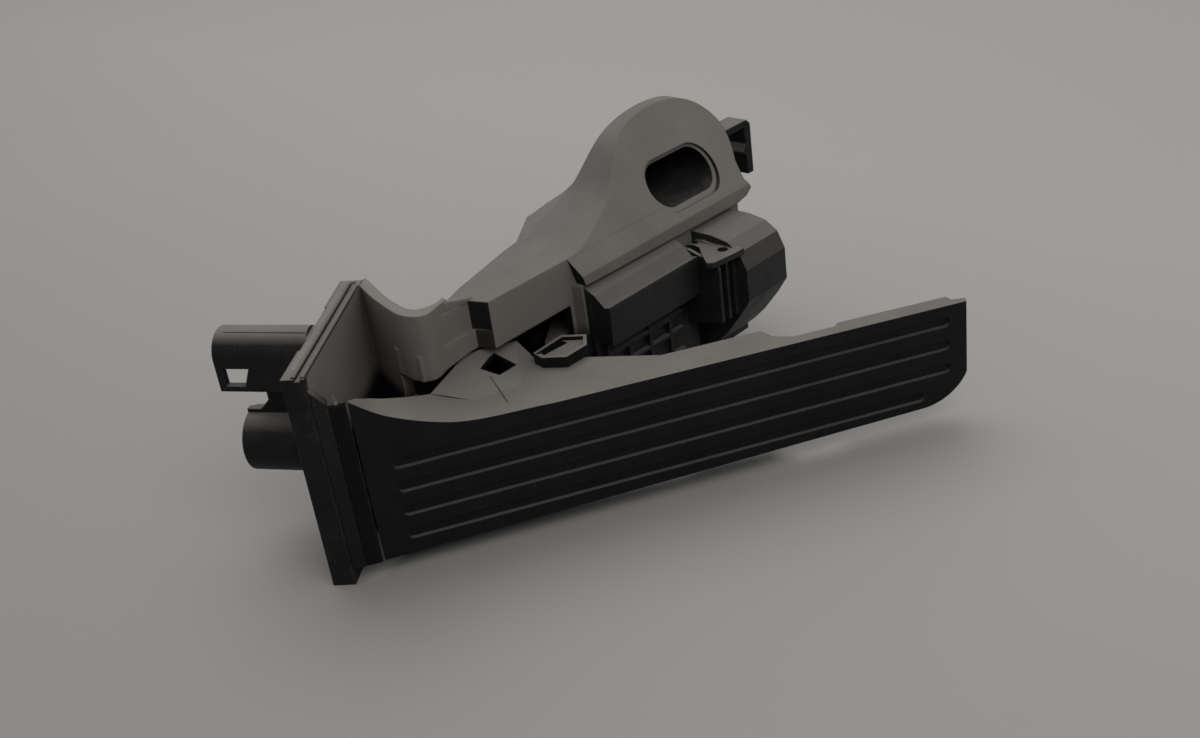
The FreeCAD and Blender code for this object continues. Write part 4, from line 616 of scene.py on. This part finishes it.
def soften_edges(piece, width, segments=2):
    """Rounds the sharp edges of a piece and shades its round faces smoothly."""
    bpy.ops.object.mode_set(mode="EDIT")
    bpy.ops.mesh.select_mode(type="EDGE")
    bpy.ops.mesh.select_all(action="DESELECT")
    bpy.ops.mesh.edges_select_sharp(sharpness=sharp_angle)
    bpy.ops.mesh.bevel(offset=width, segments=segments, affect="EDGES")
    bpy.ops.object.mode_set(mode="OBJECT")
    bpy.ops.object.shade_smooth_by_angle(angle=sharp_angle)


def add_wall(piece, thickness, offset):
    """Gives a sheet its wall and turns all faces outwards."""
    wall = piece.modifiers.new("wall", "SOLIDIFY")
    wall.thickness = thickness
    wall.offset = offset
    bpy.ops.object.modifier_apply(modifier=wall.name)
    bpy.ops.object.mode_set(mode="EDIT")
    bpy.ops.mesh.select_all(action="SELECT")
    bpy.ops.mesh.normals_make_consistent(inside=False)
    bpy.ops.object.mode_set(mode="OBJECT")


def finish_piece(piece, name, finish, body):
    """Names a piece, gives it its finish and lets it ride on a body."""
    piece.name = name
    piece.data.name = name
    piece.data.materials.clear()
    piece.data.materials.append(finish)
    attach(piece, body)
    return piece


print("modelling helpers ready")

# %% [markdown]
# The grooves of the pad have sloped walls that catch the light along their lower edge and curl round at
# their ends. Each gets a thin liner: an open cone lying in the groove, whose right half is drawn out to
# the groove's length, and which then gets a wall. The liner is made flat and turned with the pad.

# %% Groove liners
pad_turn = math.radians(-30.6)
groove_first = 26.0
groove_pitch = 8.9
groove_radius = 1.95
groove_start = 9.6
groove_ends = [203.0, 203.0, 203.0, 193.0]
groove_levels = [-(groove_first + groove_pitch * index) for index in range(len(groove_ends))]
liner_front = 0.03
liner_back = 0.96
liner_foot_radius = 1.42
liner_wall = 0.08
past_middle = 0.001


def make_groove_liner(index):
    """The liner of one groove, counted from the upper edge of the pad."""
    begin()
    bpy.ops.mesh.primitive_cone_add(
        vertices=32, radius1=groove_radius * millimetre, radius2=liner_foot_radius * millimetre,
        depth=(liner_back - liner_front) * millimetre, end_fill_type="NOTHING",
        location=((groove_start + groove_radius) * millimetre, (liner_front + liner_back) / 2 * millimetre,
                  groove_levels[index] * millimetre),
        rotation=(math.radians(-90), 0.0, 0.0))
    liner = settle()
    middle = (groove_start + groove_radius + past_middle) * millimetre
    length = (groove_ends[index] - groove_start - 2 * groove_radius) * millimetre
    shift_picked(liner, lambda spot: spot.x > middle, (length, 0.0, 0.0))
    add_wall(liner, liner_wall * millimetre, 1.0)
    liner.rotation_euler = (0.0, 0.0, pad_turn)
    liner.location = place(0.0, 0.0, 0.0)
    settle()
    return finish_piece(liner, "groove_liner_%d" % (index + 1), groove_plastic, "pedal")


groove_liners = [make_groove_liner(index) for index in range(len(groove_levels))]
print("groove liners:", len(groove_liners))

# %% [markdown]
# The heel flange turns round a full corner before the elastomer hinge begins. The corner is a block that
# stands in the angle between the flange and the hinge strip. Its top slopes down to the hinge, and its
# edges are rounded. It lies along the face of the strip, so its place is given along and before that face.

# %% Heel corner
strip_turn = math.radians(-33.2)


def on_strip(along, before, height):
    """A place along the face of the hinge strip, before it and up, in the frame's metres."""
    x = along * math.cos(strip_turn) + before * math.sin(strip_turn)
    y = along * math.sin(strip_turn) - before * math.cos(strip_turn)
    return place(x, y, height)


corner_left = -10.3
corner_right = -5.4
corner_front = 1.35
corner_back = -3.5
corner_foot = -60.0
corner_top = 7.0
corner_fall = 6.6
corner_round = 0.7
begin()
bpy.ops.mesh.primitive_cube_add(
    size=millimetre,
    location=on_strip((corner_left + corner_right) / 2, (corner_front + corner_back) / 2,
                      (corner_foot + corner_top) / 2),
    rotation=(0.0, 0.0, strip_turn),
    scale=(corner_right - corner_left, corner_front - corner_back, corner_top - corner_foot))
heel_corner = settle()
corner_middle = on_strip((corner_left + corner_right) / 2, 0.0, 0.0)
strip_along = Vector((math.cos(strip_turn), math.sin(strip_turn), 0.0))
shift_picked(heel_corner,
             lambda spot: spot.z > corner_middle.z and (spot - corner_middle).dot(strip_along) > 0,
             (0.0, 0.0, -corner_fall * millimetre))
soften_edges(heel_corner, corner_round * millimetre, 3)
finish_piece(heel_corner, "heel_corner", flange_plastic, "module")
print("heel corner made")

# %% [markdown]
# Two round ridges run along the flange's top, with a trough between them. Each is a cylinder that stands
# half out of the top. They are placed along the flange and across it, from the corner of its front edge.

# %% Flange ridges
flange_top = 10.85
ridge_radius = 0.8
ridge_start = -4.3
ridge_round = 0.35
ridge_lengths = {"flange_ridge_outer": (12.95, 66.0), "flange_ridge_inner": (9.95, 64.0)}


def on_flange(along, across, height):
    """A place along the flange, across it and up, in the frame's metres."""
    x = along * math.cos(flange_turn) - across * math.sin(flange_turn)
    y = along * math.sin(flange_turn) + across * math.cos(flange_turn)
    return place(x, y, height)


for ridge_name, (across, length) in ridge_lengths.items():
    begin()
    bpy.ops.mesh.primitive_cylinder_add(
        vertices=28, radius=ridge_radius * millimetre, depth=length * millimetre,
        location=on_flange(ridge_start + length / 2, across, flange_top),
        rotation=(0.0, math.radians(90), flange_turn))
    ridge = settle()
    soften_edges(ridge, ridge_round * millimetre, 3)
    finish_piece(ridge, ridge_name, flange_plastic, "module")
print("flange ridges:", list(ridge_lengths))

# %% [markdown]
# The curved top land behind the flange runs into the lower shelf of the casing over a soft ramp. It is a
# block whose right end is lowered in edit mode, with its edges rounded.

# %% Ramp of the top land
ramp_left = 49.0
ramp_right = 61.5
ramp_front = 7.1
ramp_back = 9.3
ramp_high = 10.3
ramp_low = 6.6
ramp_foot = 5.6
ramp_round = 0.5
begin()
bpy.ops.mesh.primitive_cube_add(
    size=millimetre, location=place((ramp_left + ramp_right) / 2, (ramp_front + ramp_back) / 2,
                                    (ramp_foot + ramp_high) / 2),
    scale=(ramp_right - ramp_left, ramp_back - ramp_front, ramp_high - ramp_foot))
ramp = settle()
ramp_middle = place((ramp_left + ramp_right) / 2, ramp_front, (ramp_foot + ramp_high) / 2)
shift_picked(ramp, lambda spot: spot.x > ramp_middle.x and spot.z > ramp_middle.z,
             (0.0, 0.0, (ramp_low - ramp_high) * millimetre))
soften_edges(ramp, ramp_round * millimetre, 3)
finish_piece(ramp, "land_ramp", housing_plastic, "module")
print("ramp made")

# %% [markdown]
# The visible part of the hinge strip is ribbed from top to bottom, and a torn edge of pale flash is left
# on its top. The ribs are thin cylinders that stand half out of the strip. The flash is a narrow grid
# whose upper vertices are moved up or down one after the other, as a torn edge runs.

# %% Hinge ribs and flash
rib_places = [-4.6, -3.5, -2.4, -1.3]
rib_radius = 0.32
rib_top = -0.6
rib_foot = -59.0
rib_round = 0.05
strip_face = 0.6


def make_hinge_rib(index):
    """One upright rib on the face of the hinge strip."""
    begin()
    bpy.ops.mesh.primitive_cylinder_add(
        vertices=16, radius=rib_radius * millimetre, depth=(rib_top - rib_foot) * millimetre,
        location=on_strip(rib_places[index], strip_face, (rib_top + rib_foot) / 2))
    rib = settle()
    soften_edges(rib, rib_round * millimetre, 1)
    return finish_piece(rib, "hinge_rib_%d" % (index + 1), hinge_elastomer, "module")


hinge_ribs = [make_hinge_rib(index) for index in range(len(rib_places))]

flash_left = -5.3
flash_right = -0.4
flash_height = 0.8
flash_sink = 0.2
flash_wall = 0.3
tear_line = place(0.0, 0.0, 0.1).z
flash_tears = [0.2, 0.9, 0.3, 1.5, 2.3, 1.0, 0.1, 1.2, 0.7, -0.2]
begin()
bpy.ops.mesh.primitive_grid_add(
    x_subdivisions=len(flash_tears) - 1, y_subdivisions=1, size=millimetre,
    location=on_strip((flash_left + flash_right) / 2, strip_face, flash_height / 2 - flash_sink),
    rotation=(math.radians(90), 0.0, strip_turn), scale=(flash_right - flash_left, flash_height, 1.0))
flash = settle()
flash_step = (flash_right - flash_left) / (len(flash_tears) - 1) * millimetre
flash_start = on_strip(flash_left, strip_face, 0.0)
for index, tear in enumerate(flash_tears):
    shift_picked(flash, lambda spot: spot.z > tear_line
                 and abs((spot - flash_start).dot(strip_along) - index * flash_step) < flash_step / 3,
                 (0.0, 0.0, tear * millimetre))
add_wall(flash, flash_wall * millimetre, 0.0)
finish_piece(flash, "hinge_flash", flash_plastic, "module")
print("hinge ribs:", len(hinge_ribs), "and the flash")

# %% [markdown]
# Where two halves of the mould met, a fine line is left on the plastic: along the top of the upper peg and
# across the roof of the pad's bracket. A scuff on the flange is a line too. One helper lays a slim bar from
# one place to the next, flat on the surface that faces along a normal, and rounds it.


# %% Mould lines and a scuff
def lay_line(name, start, end, normal, width, height, finish, body):
    """A slim bar on a surface, from one place of the drawing to another."""
    first = place(*start)
    run = place(*end) - first
    outward = Vector(normal)
    outward = (outward - run * (outward.dot(run) / run.length_squared)).normalized()
    across = outward.cross(run.normalized())
    turn = Matrix((run.normalized(), across, outward)).transposed().to_euler()
    begin()
    bpy.ops.mesh.primitive_cube_add(size=1.0, location=first + run / 2, rotation=turn,
                                    scale=(run.length, width * millimetre, height * millimetre))
    bar = settle()
    soften_edges(bar, min(width, height) * 0.3 * millimetre, 1)
    return finish_piece(bar, name, finish, body)


mould_lines = [
    lay_line("peg_mould_line", (-4.8, 54.2, 12.0), (9.2, 28.4, 12.0), (-0.29, -0.16, 0.94), 0.35, 0.2,
             seam_plastic, "module"),
    lay_line("roof_mould_line_1", (53.1, -4.6, -15.9), (50.7, -11.2, -17.65), (-0.07, -0.28, 0.96), 0.3, 0.16,
             seam_plastic, "pedal"),
    lay_line("roof_mould_line_2", (50.7, -11.2, -17.7), (46.5, -19.8, -18.1), (-0.01, -0.1, 0.99), 0.3, 0.16,
             seam_plastic, "pedal"),
    lay_line("flange_scuff_1", (27.8, 32.3, 3.5), (28.1, 32.5, -0.8), (0.6, -0.8, 0.0), 0.22, 0.1,
             scuff_plastic, "module"),
    lay_line("flange_scuff_2", (28.1, 32.5, -0.8), (29.1, 33.25, -5.7), (0.6, -0.8, 0.0), 0.18, 0.1,
             scuff_plastic, "module"),
]
print("mould lines and scuffs:", len(mould_lines))

# %% [markdown]
# The colours are shown as they are, with the plain view transform.

# %% View settings
bpy.context.scene.view_settings.view_transform = "Standard"
